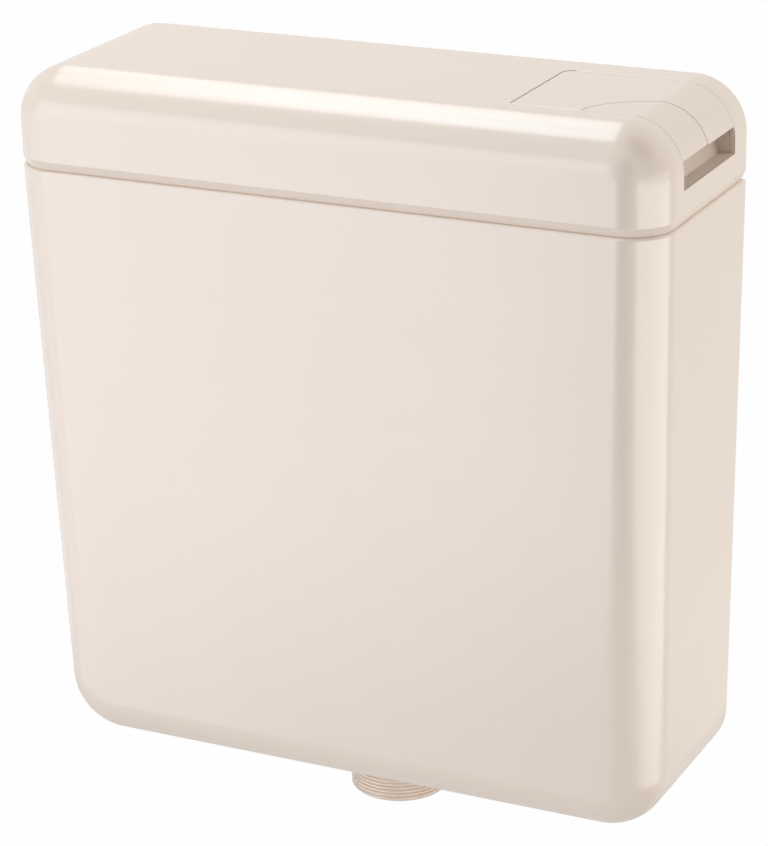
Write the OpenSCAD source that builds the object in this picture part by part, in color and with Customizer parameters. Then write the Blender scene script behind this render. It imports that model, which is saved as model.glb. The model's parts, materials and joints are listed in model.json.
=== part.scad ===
// Wall-hung plastic toilet cistern with two wrap-around push keys, a lift-off lid,
// a dual-flush outlet valve and a float-operated fill valve. Units are millimetres.
// The origin is on the axis of the flush outlet, at its lower end. +Z is up, +Y faces the wall.

/* [Tank] */
// Width of the tank at its rim
tank_w = 400; // [380:1:430]
// Depth of the tank at its rim, from the front face to the wall
tank_d = 131; // [128:1:145]
// Height of the tank from the underside of its floor to the rim
tank_h = 360.5; // [340:0.5:400]
// Inset of each side at the floor
side_draft = 6; // [3:0.5:9]
// Inset of the front face at the floor
front_draft = 10; // [6:0.5:13]
// Thickness of the tank walls
tank_wall = 3; // [2.5:0.1:3.5]
// Radius of the lower corners, seen from the front
bottom_r = 36.5; // [32:0.5:45]
// Radius of the rounded edge around the front face
front_r = 25.5; // [22:0.5:28]
// Distance of the outlet axis from the wall
outlet_setback = 45; // [43:0.5:50]

/* [Foam liner] */
// Thickness of the insulating liner
liner_t = 5; // [3:0.5:6]
// Height of the liner above the tank floor
liner_h = 260; // [200:1:280]

/* [Lid] */
// Height of the lid above the tank rim
lid_h = 57.5; // [56:0.5:62]
// Radius of the upper corners, seen from the front
lid_r = 30.5; // [29:0.5:33]
// Thickness of the lid walls
lid_wall = 3; // [2.5:0.1:3.2]
// Height of the drawn-in band along the lower edge of the lid
band_h = 5.3; // [4:0.1:7]
// How far the band is drawn in at its lower edge
band_in = 2; // [1:0.1:2.2]
// How far the locating lip reaches down inside the tank rim
lip_h = 3; // [2:0.1:3.4]
// Thickness of the locating lip
lip_t = 2; // [1.5:0.1:2.5]

/* [Push keys] */
// Length of the key bay from its left edge to the side of the lid
key_len = 100.5; // [98:0.5:103]
// Distance of the bay from the front face of the lid
bay_front = 34.5; // [33:0.5:36]
// Distance of the bay from the back of the lid
bay_back = 18.5; // [17:0.5:20]
// Height of the lower edge of the keys above the tank rim
key_bottom = 34; // [32:0.5:36]
// Height of the lower edge of the finger slot above the tank rim
slot_bottom = 19; // [17:0.5:21]
// Thickness of the full-flush key
full_key_t = 3.6; // [3.2:0.1:4]
// Thickness of the part-flush key
part_key_t = 2.6; // [2.2:0.1:3]
// How far the left end of the keys is sunk below the lid
key_sink = 1.2; // [0.6:0.1:1.6]
// Length of the part-flush key from its round tip to the side of the lid
tongue_len = 59; // [56:0.5:61]
// Width of the part-flush key at the side of the lid
tongue_w = 38; // [35:0.5:40]
// Depth of the recess behind the finger slot, along its floor
recess_in = 9.5; // [8.5:0.5:11]
// How far the wall of the recess leans in at its upper edge
recess_lean = 4.5; // [3:0.5:6]
// Radius of the key pins
key_pin_r = 1.5; // [1.2:0.1:1.8]
// Gap between the keys and around them
key_gap = 0.7; // [0.4:0.1:0.8]

/* [Outlet] */
// Length of the outlet below the tank floor
outlet_drop = 31; // [28:0.5:36]
// Bore of the outlet as a radius, for a 50 mm flush pipe
outlet_bore_r = 25.2; // [24.5:0.1:25.6]
// Depth of that bore
outlet_bore_h = 29; // [25:0.5:30]
// Crest radius of the outlet thread
thread_r = 29.8; // [29:0.1:30.5]
// Depth of the thread
thread_depth = 1.4; // [1:0.1:1.6]
// Pitch of the thread
thread_pitch = 2.309; // [2:0.001:3]
// Number of thread grooves
thread_count = 6; // [5:1:8]

/* [Flush valve] */
// Outer radius of the overflow tube
tube_r = 15; // [13:0.5:16]
// Wall of the overflow tube
tube_wall = 2.2; // [1.8:0.1:2.6]
// Distance of the overflow level below the tank rim
overflow_drop = 51; // [48:1:60]
// Height of the valve basket above the outlet flange
basket_h = 112; // [100:1:130]
// Thickness of the rubber valve seal
seal_t = 2.4; // [2:0.1:3]
// Distance of the part-flush rod from the outlet axis
rod_offset = 40; // [39:0.5:42]

/* [Levers] */
// Distance of the lever pin from the side of the tank
lever_pin_in = 75; // [73:0.5:77]
// Thickness of the levers
lever_t = 8; // [6:0.5:9]
// Radius of the lever pin
lever_pin_r = 2.5; // [2:0.1:3]
// Height of the press pads on the levers above the tank rim
pad_z = 16; // [15:0.5:17]

/* [Fill valve] */
// Distance of the fill valve axis from the outlet axis
inlet_x = 62; // [60:0.5:68]
// Distance of the inlet below the tank rim
inlet_drop = 34; // [32:0.5:38]
// Radius of the supply opening in the back of the tank
supply_r = 16; // [15:0.5:18]
// Bore of the union nut as a radius
union_r = 10.2; // [9.5:0.1:10.5]
// Radius of the fill valve body
fill_body_r = 11; // [10:0.5:11.5]
// Height of the float
float_h = 46; // [40:1:50]

/* [Wall fixing] */
// Distance between the two wall slots
slot_pitch = 260; // [230:1:280]
// Width of a wall slot
slot_w = 7; // [6:0.1:8]
// Length of a wall slot
slot_len = 16; // [14:0.5:20]
// Distance of the wall slots below the tank rim
slot_drop = 24; // [20:0.5:28]

/* [Hidden] */

// Facets of the rounded shells and of exact round surfaces
shell_fn = 48;
$fn = 64;

// Colours of the moulded pieces
ivory = [0.90, 0.85, 0.79];
white = [0.93, 0.93, 0.92];
grey = [0.62, 0.64, 0.66];
black = [0.12, 0.12, 0.13];
blue = [0.25, 0.45, 0.68];
steel = [0.72, 0.73, 0.75];
brass = [0.78, 0.62, 0.32];

// Clearances: running fit of a pin, loose fit of a piece, seat of one piece on another
run = 0.05;
loose = 0.4;
seat = 0.1;
// Overlap that makes two shapes of one solid grow together, and overshoot of a cut
bond = 0.5;
over = 1;

// Main levels and planes
half_w = tank_w / 2;
y_back = outlet_setback;
y_front = y_back - tank_d;
floor_z = outlet_drop + tank_wall;
rim_z = outlet_drop + tank_h;
top_z = rim_z + lid_h;
lid_seat = 0.3;

// Key bay in the lid
bay_x = half_w - key_len;
bay_y0 = y_front + bay_front;
bay_y1 = y_back - bay_back;
key_z = rim_z + key_bottom;
slot_z = rim_z + slot_bottom;
full_pin_x = bay_x + 5;
full_pin_z = top_z - 9;
part_pin_x = half_w - tongue_len + 5;
part_pin_z = top_z - 13;
tongue_over = 5;
lug_r = 3.8;

// Levers, in the planes of the two press posts
full_y = 0;
part_y = -rod_offset;
part_pad_in = 11.5;
part_pad_y = bay_y0 + part_pad_in;
lever_x = half_w - lever_pin_in;
lever_z = rim_z + 4;
full_post_x = lever_x + 35;
part_post_x = lever_x + 43;
post_t = 4;
post_gap = 0.4;
hook_z = rim_z - 14;
hook_t = 6;

// Outlet flange, seat and valve levels
spigot_flange_r = 35.5;
spigot_flange_t = 4;
flange_seal_t = 1.5;
flange_z = floor_z + flange_seal_t;
seat_z = flange_z + spigot_flange_t + 3.5;
throat_r = outlet_bore_r - 2.2;
valve_r = throat_r + 5;
disc_z = seat_z + seat + seal_t;
tube_top_z = rim_z - overflow_drop;
basket_z = flange_z + spigot_flange_t;
basket_top_z = basket_z + basket_h;
cage_r = 31.5;
cage_wall = 3.5;

// Fill valve axes
fill_z = rim_z - inlet_drop;
fill_y = -1;
arm_pin_x = -inlet_x - 48;
arm_pin_z = fill_z - 8;
plunger_r = 5;
cradle_y = 12;
cradle_t = 3.5;
neck_r = 9;

// Points on the quarter ellipse that bounds the part-flush key, grown by g
function tongue_points(g, n = 20) = [
    for (i = [0 : n])
        let (t = 90 * i / n)
            [half_w + tongue_over - (tongue_len + tongue_over + g) * cos(t),
             bay_y0 + (tongue_w + g) * sin(t)]
];

// A rounded corner of the shells: outline radius R seen from the front, edge radius r at the front
module corner_ball(R, r, inset) {
    rotate([90, 0, 0])
        rotate_extrude($fn = shell_fn)
            intersection() {
                translate([R - r, 0])
                    circle(r - inset, $fn = shell_fn);
                translate([0, -r])
                    square([R + r, 2 * r]);
            }
}

// Thin posts at the four plan corners, round at the front and square at the back
module plan_posts(inset, z, h) {
    for (s = [-1, 1]) {
        translate([s * (half_w - front_r), y_front + front_r, z])
            cylinder(r = front_r - inset, h = h, $fn = shell_fn);
        translate([s * (half_w - inset - 0.5) - 0.5, y_back - inset - 1, z])
            cube([1, 1, h]);
    }
}

// Outer form of the tank, inset on all sides
module tank_form(inset, z_high) {
    hull() {
        for (s = [-1, 1]) {
            translate([s * (half_w - side_draft - bottom_r), y_front + front_draft + front_r,
                       outlet_drop + bottom_r])
                corner_ball(bottom_r, front_r, inset);
            translate([s * (half_w - side_draft - bottom_r), y_back - inset, outlet_drop + bottom_r])
                rotate([90, 0, 0])
                    cylinder(r = bottom_r - inset, h = 1, $fn = shell_fn);
        }
        plan_posts(inset, z_high - 1, 1);
    }
}

// Outer form of the lid, inset on all sides, down to z_low
module lid_form(inset, z_low) {
    intersection() {
        hull() {
            for (s = [-1, 1]) {
                translate([s * (half_w - lid_r), y_front + front_r, top_z - lid_r])
                    corner_ball(lid_r, front_r, inset);
                translate([s * (half_w - lid_r), y_back - inset, top_z - lid_r])
                    rotate([90, 0, 0])
                        cylinder(r = lid_r - inset, h = 1, $fn = shell_fn);
            }
            plan_posts(inset, z_low - 1, 1);
        }
        box([-tank_w, y_front - over, z_low], [tank_w, y_back + over, top_z + over]);
    }
}

// A cylinder along Y from y0 to y1
module y_rod(r, x, z, y0, y1) {
    translate([x, y1, z])
        rotate([90, 0, 0])
            cylinder(r = r, h = y1 - y0);
}

// A cylinder along X from x0 to x1
module x_rod(r, y, z, x0, x1) {
    translate([x0, y, z])
        rotate([0, 90, 0])
            cylinder(r = r, h = x1 - x0);
}

// A box between two corners
module box(a, b) {
    translate(a)
        cube(b - a);
}

// A flat ring
module ring(r_out, r_in, z, h) {
    translate([0, 0, z])
        difference() {
            cylinder(r = r_out, h = h);
            translate([0, 0, -over])
                cylinder(r = r_in, h = h + 2 * over);
        }
}

// A profile in the XZ plane, extruded from y0 to y1
module xz_plate(points, y0, y1) {
    translate([0, y1, 0])
        rotate([90, 0, 0])
            linear_extrude(y1 - y0)
                polygon(points);
}

// A pan-head screw pointing up, with its head under z
pan_h = 2;

module screw_up(r, length, head_r, head_h) {
    translate([0, 0, -head_h])
        cylinder(r = head_r, h = head_h);
    translate([0, 0, -bond])
        cylinder(r = r, h = length + bond);
}

// Bridge ledges and the cradle of the fill valve, moulded on the inside of the tank
bridge_w = 14;
bridge_t = 12;
bridge_top = rim_z - 4;
ledge_t = 6;
ledge_reach = 9;
bridge_screw_r = 1.6;
bridge_screw_in = 6;
ledge_z = bridge_top - bridge_t;
bridge_y0 = y_front + tank_wall + loose + 0.4;
bridge_y1 = y_back - tank_wall - loose;
bridge_screw_y = [bridge_y0 + bridge_screw_in, bridge_y1 - bridge_screw_in];

module tank_ledges() {
    intersection() {
        tank_form(tank_wall - bond, rim_z);
        union() {
            box([lever_x - bridge_w / 2, y_front, ledge_z - ledge_t - seat],
                [lever_x + bridge_w / 2, y_front + tank_wall + ledge_reach, ledge_z - seat]);
            box([lever_x - bridge_w / 2, y_back - tank_wall - ledge_reach, ledge_z - ledge_t - seat],
                [lever_x + bridge_w / 2, y_back - bond, ledge_z - seat]);
        }
    }
}

cradle_half = 21;
cradle_low = fill_z - 22;

module fill_cradle() {
    difference() {
        union() {
            for (s = [-1, 1])
                box([-inlet_x + s * (cradle_half - 1.5) - 1.5, cradle_y, cradle_low],
                    [-inlet_x + s * (cradle_half - 1.5) + 1.5, y_back - tank_wall + bond, fill_z + 2]);
            box([-inlet_x - cradle_half, cradle_y, cradle_low],
                [-inlet_x + cradle_half, cradle_y + cradle_t, fill_z + 2]);
        }
        y_rod(neck_r + loose, -inlet_x, fill_z, cradle_y - over, cradle_y + cradle_t + over);
        box([-inlet_x - neck_r - loose, cradle_y - over, fill_z],
            [-inlet_x + neck_r + loose, cradle_y + cradle_t + over, fill_z + 10]);
    }
}

// A horizontal wall slot through the back of the tank
module wall_slot(x) {
    for (s = [-1, 1])
        y_rod(slot_w / 2, x + s * (slot_len - slot_w) / 2, rim_z - slot_drop,
              y_back - tank_wall - over, y_back + over);
    box([x - (slot_len - slot_w) / 2, y_back - tank_wall - over, rim_z - slot_drop - slot_w / 2],
        [x + (slot_len - slot_w) / 2, y_back + over, rim_z - slot_drop + slot_w / 2]);
}

module tank() {
    color(ivory)
        difference() {
            union() {
                difference() {
                    tank_form(0, rim_z);
                    tank_form(tank_wall, rim_z + over);
                }
                tank_ledges();
                fill_cradle();
            }
            translate([0, 0, outlet_drop - over])
                cylinder(r = thread_r + run, h = tank_wall + 2 * over);
            y_rod(supply_r, -inlet_x, fill_z, y_back - tank_wall - over, y_back + over);
            for (s = [-1, 1])
                wall_slot(s * slot_pitch / 2);
            for (y = bridge_screw_y)
                translate([lever_x, y, ledge_z - ledge_t - over])
                    cylinder(r = bridge_screw_r + run, h = ledge_t + 2 * over);
        }
}

// Insulating foam liner, a loose tray inside the tank, open round the flush valve
liner_gap = 0.3;

module foam_liner() {
    color(white)
        difference() {
            intersection() {
                tank_form(tank_wall + liner_gap, rim_z);
                box([-half_w, y_front, outlet_drop], [half_w, y_back, floor_z + liner_h]);
            }
            tank_form(tank_wall + liner_gap + liner_t, rim_z + over);
            translate([0, 0, outlet_drop])
                cylinder(r = spigot_flange_r + 3, h = tank_wall + liner_t + 20);
        }
}

// Threaded outlet, pushed through the floor from inside and welded there by its flange
module outlet_spigot() {
    thread_top = (thread_count + 0.6) * thread_pitch;
    color(ivory)
        rotate_extrude()
            polygon(concat(
                [[outlet_bore_r, 0], [thread_r - thread_depth, 0]],
                [for (i = [0 : thread_count], p = [[0.25, 0], [0.55, 0], [1, thread_depth]])
                    [thread_r - p[1], (i + p[0]) * thread_pitch]],
                [[thread_r, thread_top + 0.9 * thread_pitch],
                 [thread_r, flange_z],
                 [spigot_flange_r, flange_z],
                 [spigot_flange_r, basket_z],
                 [valve_r - 0.5, basket_z],
                 [throat_r + 1.8, seat_z],
                 [throat_r, seat_z],
                 [throat_r, outlet_bore_h],
                 [outlet_bore_r, outlet_bore_h]]
            ));
}

module spigot_seal() {
    color(black)
        ring(spigot_flange_r - 0.5, thread_r + loose, floor_z, flange_seal_t);
}

// Cage that stands on the outlet flange and guides the overflow tube and the part-flush rod
module valve_basket() {
    eye_r = 5;
    color(blue)
        difference() {
            union() {
                ring(cage_r + cage_wall, cage_r, basket_z, 5);
                ring(cage_r + cage_wall, cage_r, basket_top_z - 14, 14);
                for (a = [45 : 90 : 315])
                    rotate([0, 0, a])
                        box([cage_r, -5, basket_z], [cage_r + cage_wall - 0.4, 5, basket_top_z - 1]);
                ring(tube_r + 5, tube_r + loose, basket_top_z - 5, 5);
                for (a = [45 : 90 : 315])
                    rotate([0, 0, a])
                        box([tube_r + 2, -2, basket_top_z - 5], [cage_r + bond, 2, basket_top_z]);
                for (z = [basket_top_z - 9, basket_z + 42]) {
                    translate([0, part_y, z])
                        cylinder(r = eye_r, h = 5);
                    box([-3, part_y, z], [3, -cage_r - bond, z + 5]);
                }
                box([-3, -cage_r - cage_wall + 0.2, basket_z + 1], [3, -cage_r, basket_top_z - 1]);
            }
            translate([0, part_y, basket_z])
                cylinder(r = rod_r + 0.2, h = basket_h + over);
        }
}

// Overflow tube with the valve disc at its foot
module overflow_tube() {
    color(white)
        rotate_extrude()
            polygon([
                [tube_r - tube_wall, disc_z - 4],
                [tube_r, disc_z - 4],
                [tube_r, disc_z],
                [valve_r, disc_z],
                [valve_r, disc_z + 2.5],
                [tube_r + 2, disc_z + 5],
                [tube_r, disc_z + 9],
                [tube_r, tube_top_z],
                [tube_r - tube_wall, tube_top_z]
            ]);
}

module valve_seal() {
    color(black)
        ring(valve_r - 0.3, tube_r + run, disc_z - seal_t, seal_t - 0.02);
}

module seal_retainer() {
    color(grey)
        ring(throat_r - 2.5, tube_r + run, disc_z - 4, 4 - seal_t - 0.05);
}

// Float that keeps the valve open until the tank has emptied, a cup that traps air
cup_t = 1.8;
float_z0 = disc_z + 12;
full_float_h = 44;

module full_flush_float() {
    color(white)
        rotate_extrude()
            polygon([
                [tube_r + run, float_z0],
                [tube_r + run, float_z0 + full_float_h],
                [cage_r - 3, float_z0 + full_float_h],
                [cage_r - 3, float_z0],
                [cage_r - 3 - cup_t, float_z0],
                [cage_r - 3 - cup_t, float_z0 + full_float_h - cup_t],
                [tube_r + run + cup_t, float_z0 + full_float_h - cup_t],
                [tube_r + run + cup_t, float_z0]
            ]);
}

// Yoke clamped on the overflow tube, hung on the fork of the full-flush lever
yoke_wall = 3;
yoke_half = 4;
yoke_side = 2.8;
yoke_rise = 13;
strap_low = 16;
strap_h = 14;
head_t = 5;
head_half = 13;
stem_half = 3;
stem_t = 4;
hook_gap = 0.4;
head_z = hook_z + hook_t / 2 + hook_gap;

module lift_yoke() {
    strap_r = tube_r + yoke_wall;
    side_y = strap_r + loose - yoke_side / 2;
    yoke_top = tube_top_z + yoke_rise;
    color(grey)
        difference() {
            union() {
                ring(strap_r, tube_r + run, tube_top_z - strap_low, strap_h);
                for (s = [-1, 1])
                    box([-yoke_half, s * side_y - yoke_side / 2, tube_top_z - strap_low / 2],
                        [yoke_half, s * side_y + yoke_side / 2, yoke_top]);
                box([-yoke_half, -strap_r - loose, yoke_top - yoke_wall],
                    [yoke_half, strap_r + loose, yoke_top]);
                box([-stem_t / 2, -stem_half, yoke_top - yoke_wall / 2],
                    [stem_t / 2, stem_half, head_z + head_t]);
                box([-yoke_half, -head_half, head_z], [yoke_half, head_half, head_z + head_t]);
            }
            translate([0, 0, tube_top_z - strap_low - over])
                cylinder(r = tube_r + run, h = strap_low + yoke_rise - yoke_wall);
        }
}

// Part-flush rod with its own head and float
rod_r = 2.5;
rod_foot_up = 30;
rod_foot_t = 3;
rod_foot_z = basket_z + rod_foot_up;

module part_flush_rod() {
    color(grey)
        union() {
            translate([0, part_y, rod_foot_z])
                cylinder(r = rod_r, h = head_z - rod_foot_z + bond);
            translate([0, part_y, rod_foot_z - rod_foot_t])
                cylinder(r = 1.6 * rod_r, h = rod_foot_t);
            box([-yoke_half, part_y - head_half, head_z], [yoke_half, part_y + head_half, head_z + head_t]);
        }
}

part_float_r = 11;
part_float_h = 36;
part_float_up = 24;

module part_flush_float() {
    deck = part_float_h - cup_t - 1;
    color(white)
        translate([0, part_y, basket_top_z + part_float_up])
            rotate_extrude()
                polygon([[rod_r + run, 0], [rod_r + run, part_float_h], [part_float_r - 2, part_float_h],
                         [part_float_r, part_float_h - 2], [part_float_r, 0], [part_float_r - cup_t, 0],
                         [part_float_r - cup_t, deck], [rod_r + cup_t, deck], [rod_r + cup_t, 0]]);
}

// Bridge across the tank that carries the lever pin
ear_t = 4;
ear_r = 6;
ear_gap = 1;
ears_y = [full_y + lever_t / 2 + ear_gap,
          (full_y + max(part_y, part_pad_y)) / 2 - ear_t / 2,
          min(part_y, part_pad_y) - lever_t / 2 - ear_gap - ear_t];

module mechanism_bridge() {
    color(grey)
        difference() {
            union() {
                box([lever_x - bridge_w / 2, bridge_y0, ledge_z],
                    [lever_x + bridge_w / 2, bridge_y1, bridge_top]);
                for (y = ears_y) {
                    box([lever_x - ear_r, y, bridge_top - bond], [lever_x + ear_r, y + ear_t, lever_z]);
                    y_rod(ear_r, lever_x, lever_z, y, y + ear_t);
                }
            }
            y_rod(lever_pin_r + run, lever_x, lever_z, y_front, y_back);
            for (y = bridge_screw_y)
                translate([lever_x, y, ledge_z - over])
                    cylinder(r = bridge_screw_r + 0.2, h = bridge_t + 2 * over);
        }
}

module bridge_screws() {
    color(steel)
        for (y = bridge_screw_y)
            translate([lever_x, y, bridge_top])
                mirror([0, 0, 1])
                    screw_up(bridge_screw_r, bridge_t + ledge_t - 1, 2 * bridge_screw_r, pan_h);
}

module lever_pin() {
    color(steel)
        y_rod(lever_pin_r, lever_x, lever_z, ears_y[2] - 2, ears_y[0] + ear_t + 2);
}

// A rocker lever: its pad lies in the plane pad_y under a press post, its fork in the plane y at the valve
lever_boss_r = 6.5;
lever_root = 5;
pad_t = 7;
pad_back = 10;
pad_ahead = 5;
fork_half = 9;
fork_reach = 8;
fork_root = 14;
fork_web = 6;
fork_play = 0.8;

module lever(y, pad_y, post_x) {
    low_y = min(y, pad_y) - lever_t / 2;
    high_y = max(y, pad_y) + lever_t / 2;
    pad_top = rim_z + pad_z;
    fork_top = hook_z + hook_t / 2;
    fork_low = hook_z - hook_t / 2;
    difference() {
        union() {
            y_rod(lever_boss_r, lever_x, lever_z, low_y, high_y);
            xz_plate([[post_x - pad_back, pad_top], [post_x + pad_ahead, pad_top],
                      [post_x + pad_ahead, pad_top - pad_t], [lever_x, lever_z - lever_root],
                      [lever_x, lever_z + lever_root]],
                     pad_y - lever_t / 2, pad_y + lever_t / 2);
            xz_plate([[lever_x, lever_z + lever_root], [lever_x, lever_z - lever_root],
                      [-fork_reach, fork_low], [-fork_reach, fork_top], [fork_root, fork_top]],
                     y - lever_t / 2, y + lever_t / 2);
            xz_plate([[fork_root + fork_web, fork_top], [fork_root + fork_web, fork_low],
                      [-fork_reach, fork_low], [-fork_reach, fork_top]],
                     y - fork_half, y + fork_half);
        }
        y_rod(lever_pin_r + run, lever_x, lever_z, low_y - over, high_y + over);
        box([-fork_reach - over, y - stem_half - fork_play, fork_low - over],
            [fork_root - 4, y + stem_half + fork_play, fork_top + over]);
    }
}

module full_flush_lever() {
    color(white)
        lever(full_y, full_y, full_post_x);
}

module part_flush_lever() {
    color(blue)
        lever(part_y, part_pad_y, part_post_x);
}

// Fill valve: tail towards the wall, body along X, ears for the float arm
clip_slot = 2.6;
collar_t = 2;
collar_r = neck_r + 3;
collar_y = cradle_y + cradle_t + clip_slot;
nut_room = 16.5;
tail_r = 7.5;
tail_bore_r = 4.5;
tail_flange_t = 2;
tail_flange_y = y_back - tank_wall - nut_room;
body_left = 36;
body_right = 12;
body_x0 = -inlet_x - body_left;
body_x1 = -inlet_x + body_right;
valve_seat_x = -inlet_x - 9;
chamber_x = -inlet_x - 14;
seat_bore_r = 2.5;
ear_half = 11;
ear_wall = 3;
ear_low = 6;
ear_high = 10;
arm_pin_r = 1.5;
spout_r = 5.4;
spout_bore_r = 3.6;
spout_l = 10;

module fill_valve_body() {
    color(white)
        difference() {
            union() {
                x_rod(fill_body_r, fill_y, fill_z, body_x0, body_x1);
                y_rod(neck_r, -inlet_x, fill_z, fill_y, nut_y0 - run);
                y_rod(collar_r, -inlet_x, fill_z, collar_y, collar_y + collar_t);
                y_rod(tail_r, -inlet_x, fill_z, fill_y, tail_flange_y + tail_flange_t);
                y_rod(nut_seat_r - 0.3, -inlet_x, fill_z, tail_flange_y, tail_flange_y + tail_flange_t);
                for (s = [-1, 1])
                    box([arm_pin_x - ear_low, fill_y + s * (ear_half - ear_wall / 2) - ear_wall / 2,
                         arm_pin_z - ear_low],
                        [body_x0 + 8, fill_y + s * (ear_half - ear_wall / 2) + ear_wall / 2,
                         arm_pin_z + ear_high]);
                translate([chamber_x, fill_y, fill_z - fill_body_r - spout_l])
                    cylinder(r = spout_r, h = spout_l + 4);
            }
            x_rod(plunger_r + run, fill_y, fill_z, body_x0 - over, valve_seat_x);
            x_rod(seat_bore_r, fill_y, fill_z, valve_seat_x - over, -inlet_x);
            y_rod(tail_bore_r, -inlet_x, fill_z, fill_y, tail_flange_y + tail_flange_t + over);
            translate([chamber_x, fill_y, fill_z - fill_body_r - spout_l - over])
                cylinder(r = spout_bore_r, h = fill_body_r + spout_l + over);
            y_rod(arm_pin_r + run, arm_pin_x, arm_pin_z,
                  fill_y - ear_half - over, fill_y + ear_half + over);
        }
}

// Slide-in clip that holds the neck of the fill valve in its cradle
module fill_valve_clip() {
    clip_y0 = cradle_y + cradle_t + 0.3;
    clip_y1 = collar_y - 0.3;
    color(grey)
        difference() {
            box([-inlet_x - 15, clip_y0, fill_z - 12], [-inlet_x + 15, clip_y1, fill_z + 16]);
            y_rod(neck_r + run, -inlet_x, fill_z, clip_y0 - over, clip_y1 + over);
            box([-inlet_x - neck_r - run, clip_y0 - over, fill_z - 20],
                [-inlet_x + neck_r + run, clip_y1 + over, fill_z]);
        }
}

// Union nut that draws the supply pipe, which comes through the wall, onto the tail
union_nut_r = 15.5;
union_lip = 2.6;
wall_gap = 1.5;
washer_t = 2;
washer_bore_r = 5.5;
nut_y0 = tail_flange_y - union_lip;
nut_y1 = y_back - tank_wall - wall_gap;
washer_y0 = tail_flange_y + tail_flange_t;
washer_room = 0.3;
thread_y0 = washer_y0 + washer_t + washer_room;
nut_seat_r = union_r - 0.2;

module union_nut() {
    color(brass)
        difference() {
            translate([-inlet_x, nut_y1, fill_z])
                rotate([90, 30, 0])
                    cylinder(r = union_nut_r, h = nut_y1 - nut_y0, $fn = 6);
            y_rod(union_r, -inlet_x, fill_z, thread_y0, nut_y1 + over);
            y_rod(nut_seat_r, -inlet_x, fill_z, tail_flange_y - seat, thread_y0 + over);
            y_rod(tail_r + 0.2, -inlet_x, fill_z, nut_y0 - over, tail_flange_y);
        }
}

module union_washer() {
    color(black)
        difference() {
            y_rod(nut_seat_r - 0.2, -inlet_x, fill_z, washer_y0, washer_y0 + washer_t);
            y_rod(washer_bore_r, -inlet_x, fill_z, washer_y0 - over, washer_y0 + washer_t + over);
        }
}

// Cup strainer pushed into the tail
strainer_l = 12;
strainer_wall = 1.1;
strainer_hole_r = 0.8;

module inlet_strainer() {
    mouth_y = tail_flange_y + tail_flange_t;
    color(blue)
        difference() {
            y_rod(tail_bore_r - run, -inlet_x, fill_z, mouth_y - strainer_l, mouth_y);
            y_rod(tail_bore_r - strainer_wall, -inlet_x, fill_z, mouth_y + 1 - strainer_l, mouth_y + over);
            for (a = [0 : 60 : 300], k = [1 : 3])
                translate([-inlet_x, mouth_y - k * strainer_l / 4, fill_z])
                    rotate([0, a, 0])
                        cylinder(r = strainer_hole_r, h = tail_bore_r + over, $fn = 16);
        }
}

// Tube that leads the incoming water quietly to the floor
hush_r = 7;
hush_lift = 12;

module hush_tube() {
    hush_top = fill_z - fill_body_r - 1;
    hush_foot = floor_z + liner_t + hush_lift;
    color(white)
        translate([chamber_x, fill_y, 0])
            ring(hush_r, spout_r + run, hush_foot, hush_top - hush_foot);
}

// Plunger and its rubber face, pushed to the valve seat by the nose of the float arm
nose_r = 2.5;
nose_x = arm_pin_x + 3;
nose_gap = 0.4;
plunger_x0 = nose_x + nose_r + nose_gap;
plunger_seal_t = 2;
plunger_stroke = 2.6;
plunger_x1 = valve_seat_x - plunger_stroke - plunger_seal_t - seat;

module fill_plunger() {
    color(grey)
        x_rod(plunger_r, fill_y, fill_z, plunger_x0, plunger_x1);
}

module plunger_seal() {
    color(black)
        x_rod(plunger_r - 0.4, fill_y, fill_z, plunger_x1, plunger_x1 + plunger_seal_t);
}

// Float arm, hanging at its lower stop as in an empty tank
arm_reach = 36;
arm_drop = 14;
arm_end_x = arm_pin_x - arm_reach;
arm_end_z = arm_pin_z - arm_drop;
arm_hub_r = 5;
arm_half = 7;
arm_bar_half = 4;
arm_boss_r = 6.5;
arm_boss_h = 9;
screw_r = 2.5;
screw_grip = 12;
screw_head_r = 5;
screw_head_h = 4;
float_half_x = 20;
float_half_y = 28;
float_corner = 6;
float_hang = 10;
float_top = arm_end_z - float_hang;

module float_arm() {
    color(grey)
        difference() {
            union() {
                y_rod(arm_hub_r, arm_pin_x, arm_pin_z, fill_y - arm_half, fill_y + arm_half);
                y_rod(nose_r, nose_x, fill_z, fill_y - arm_half, fill_y + arm_half);
                xz_plate([[arm_pin_x - 3, arm_pin_z], [arm_pin_x + 4, arm_pin_z],
                          [nose_x + 1, fill_z], [nose_x - 2, fill_z]],
                         fill_y - arm_half, fill_y + arm_half);
                xz_plate([[arm_pin_x, arm_pin_z + 4], [arm_pin_x, arm_pin_z - 4],
                          [arm_end_x, arm_end_z - 4], [arm_end_x, arm_end_z + 2]],
                         fill_y - arm_bar_half, fill_y + arm_bar_half);
                translate([arm_end_x, fill_y, arm_end_z - 5])
                    cylinder(r = arm_boss_r, h = arm_boss_h);
            }
            y_rod(arm_pin_r + run, arm_pin_x, arm_pin_z, fill_y - ear_half, fill_y + ear_half);
            translate([arm_end_x, fill_y, arm_end_z - 2 * arm_boss_h])
                cylinder(r = screw_r + run, h = 4 * arm_boss_h);
        }
}

module float_arm_pin() {
    color(steel)
        y_rod(arm_pin_r, arm_pin_x, arm_pin_z, fill_y - ear_half - over, fill_y + ear_half + over);
}

// Screw that sets the water level, with a twelve-sided head above the arm
module float_screw() {
    head_z0 = arm_end_z - 5 + arm_boss_h + 0.2;
    color(blue)
        translate([arm_end_x, fill_y, 0])
            union() {
                translate([0, 0, float_top - screw_grip])
                    cylinder(r = screw_r, h = head_z0 + bond - float_top + screw_grip);
                translate([0, 0, head_z0])
                    cylinder(r = screw_head_r, h = screw_head_h, $fn = 12);
            }
}

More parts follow.
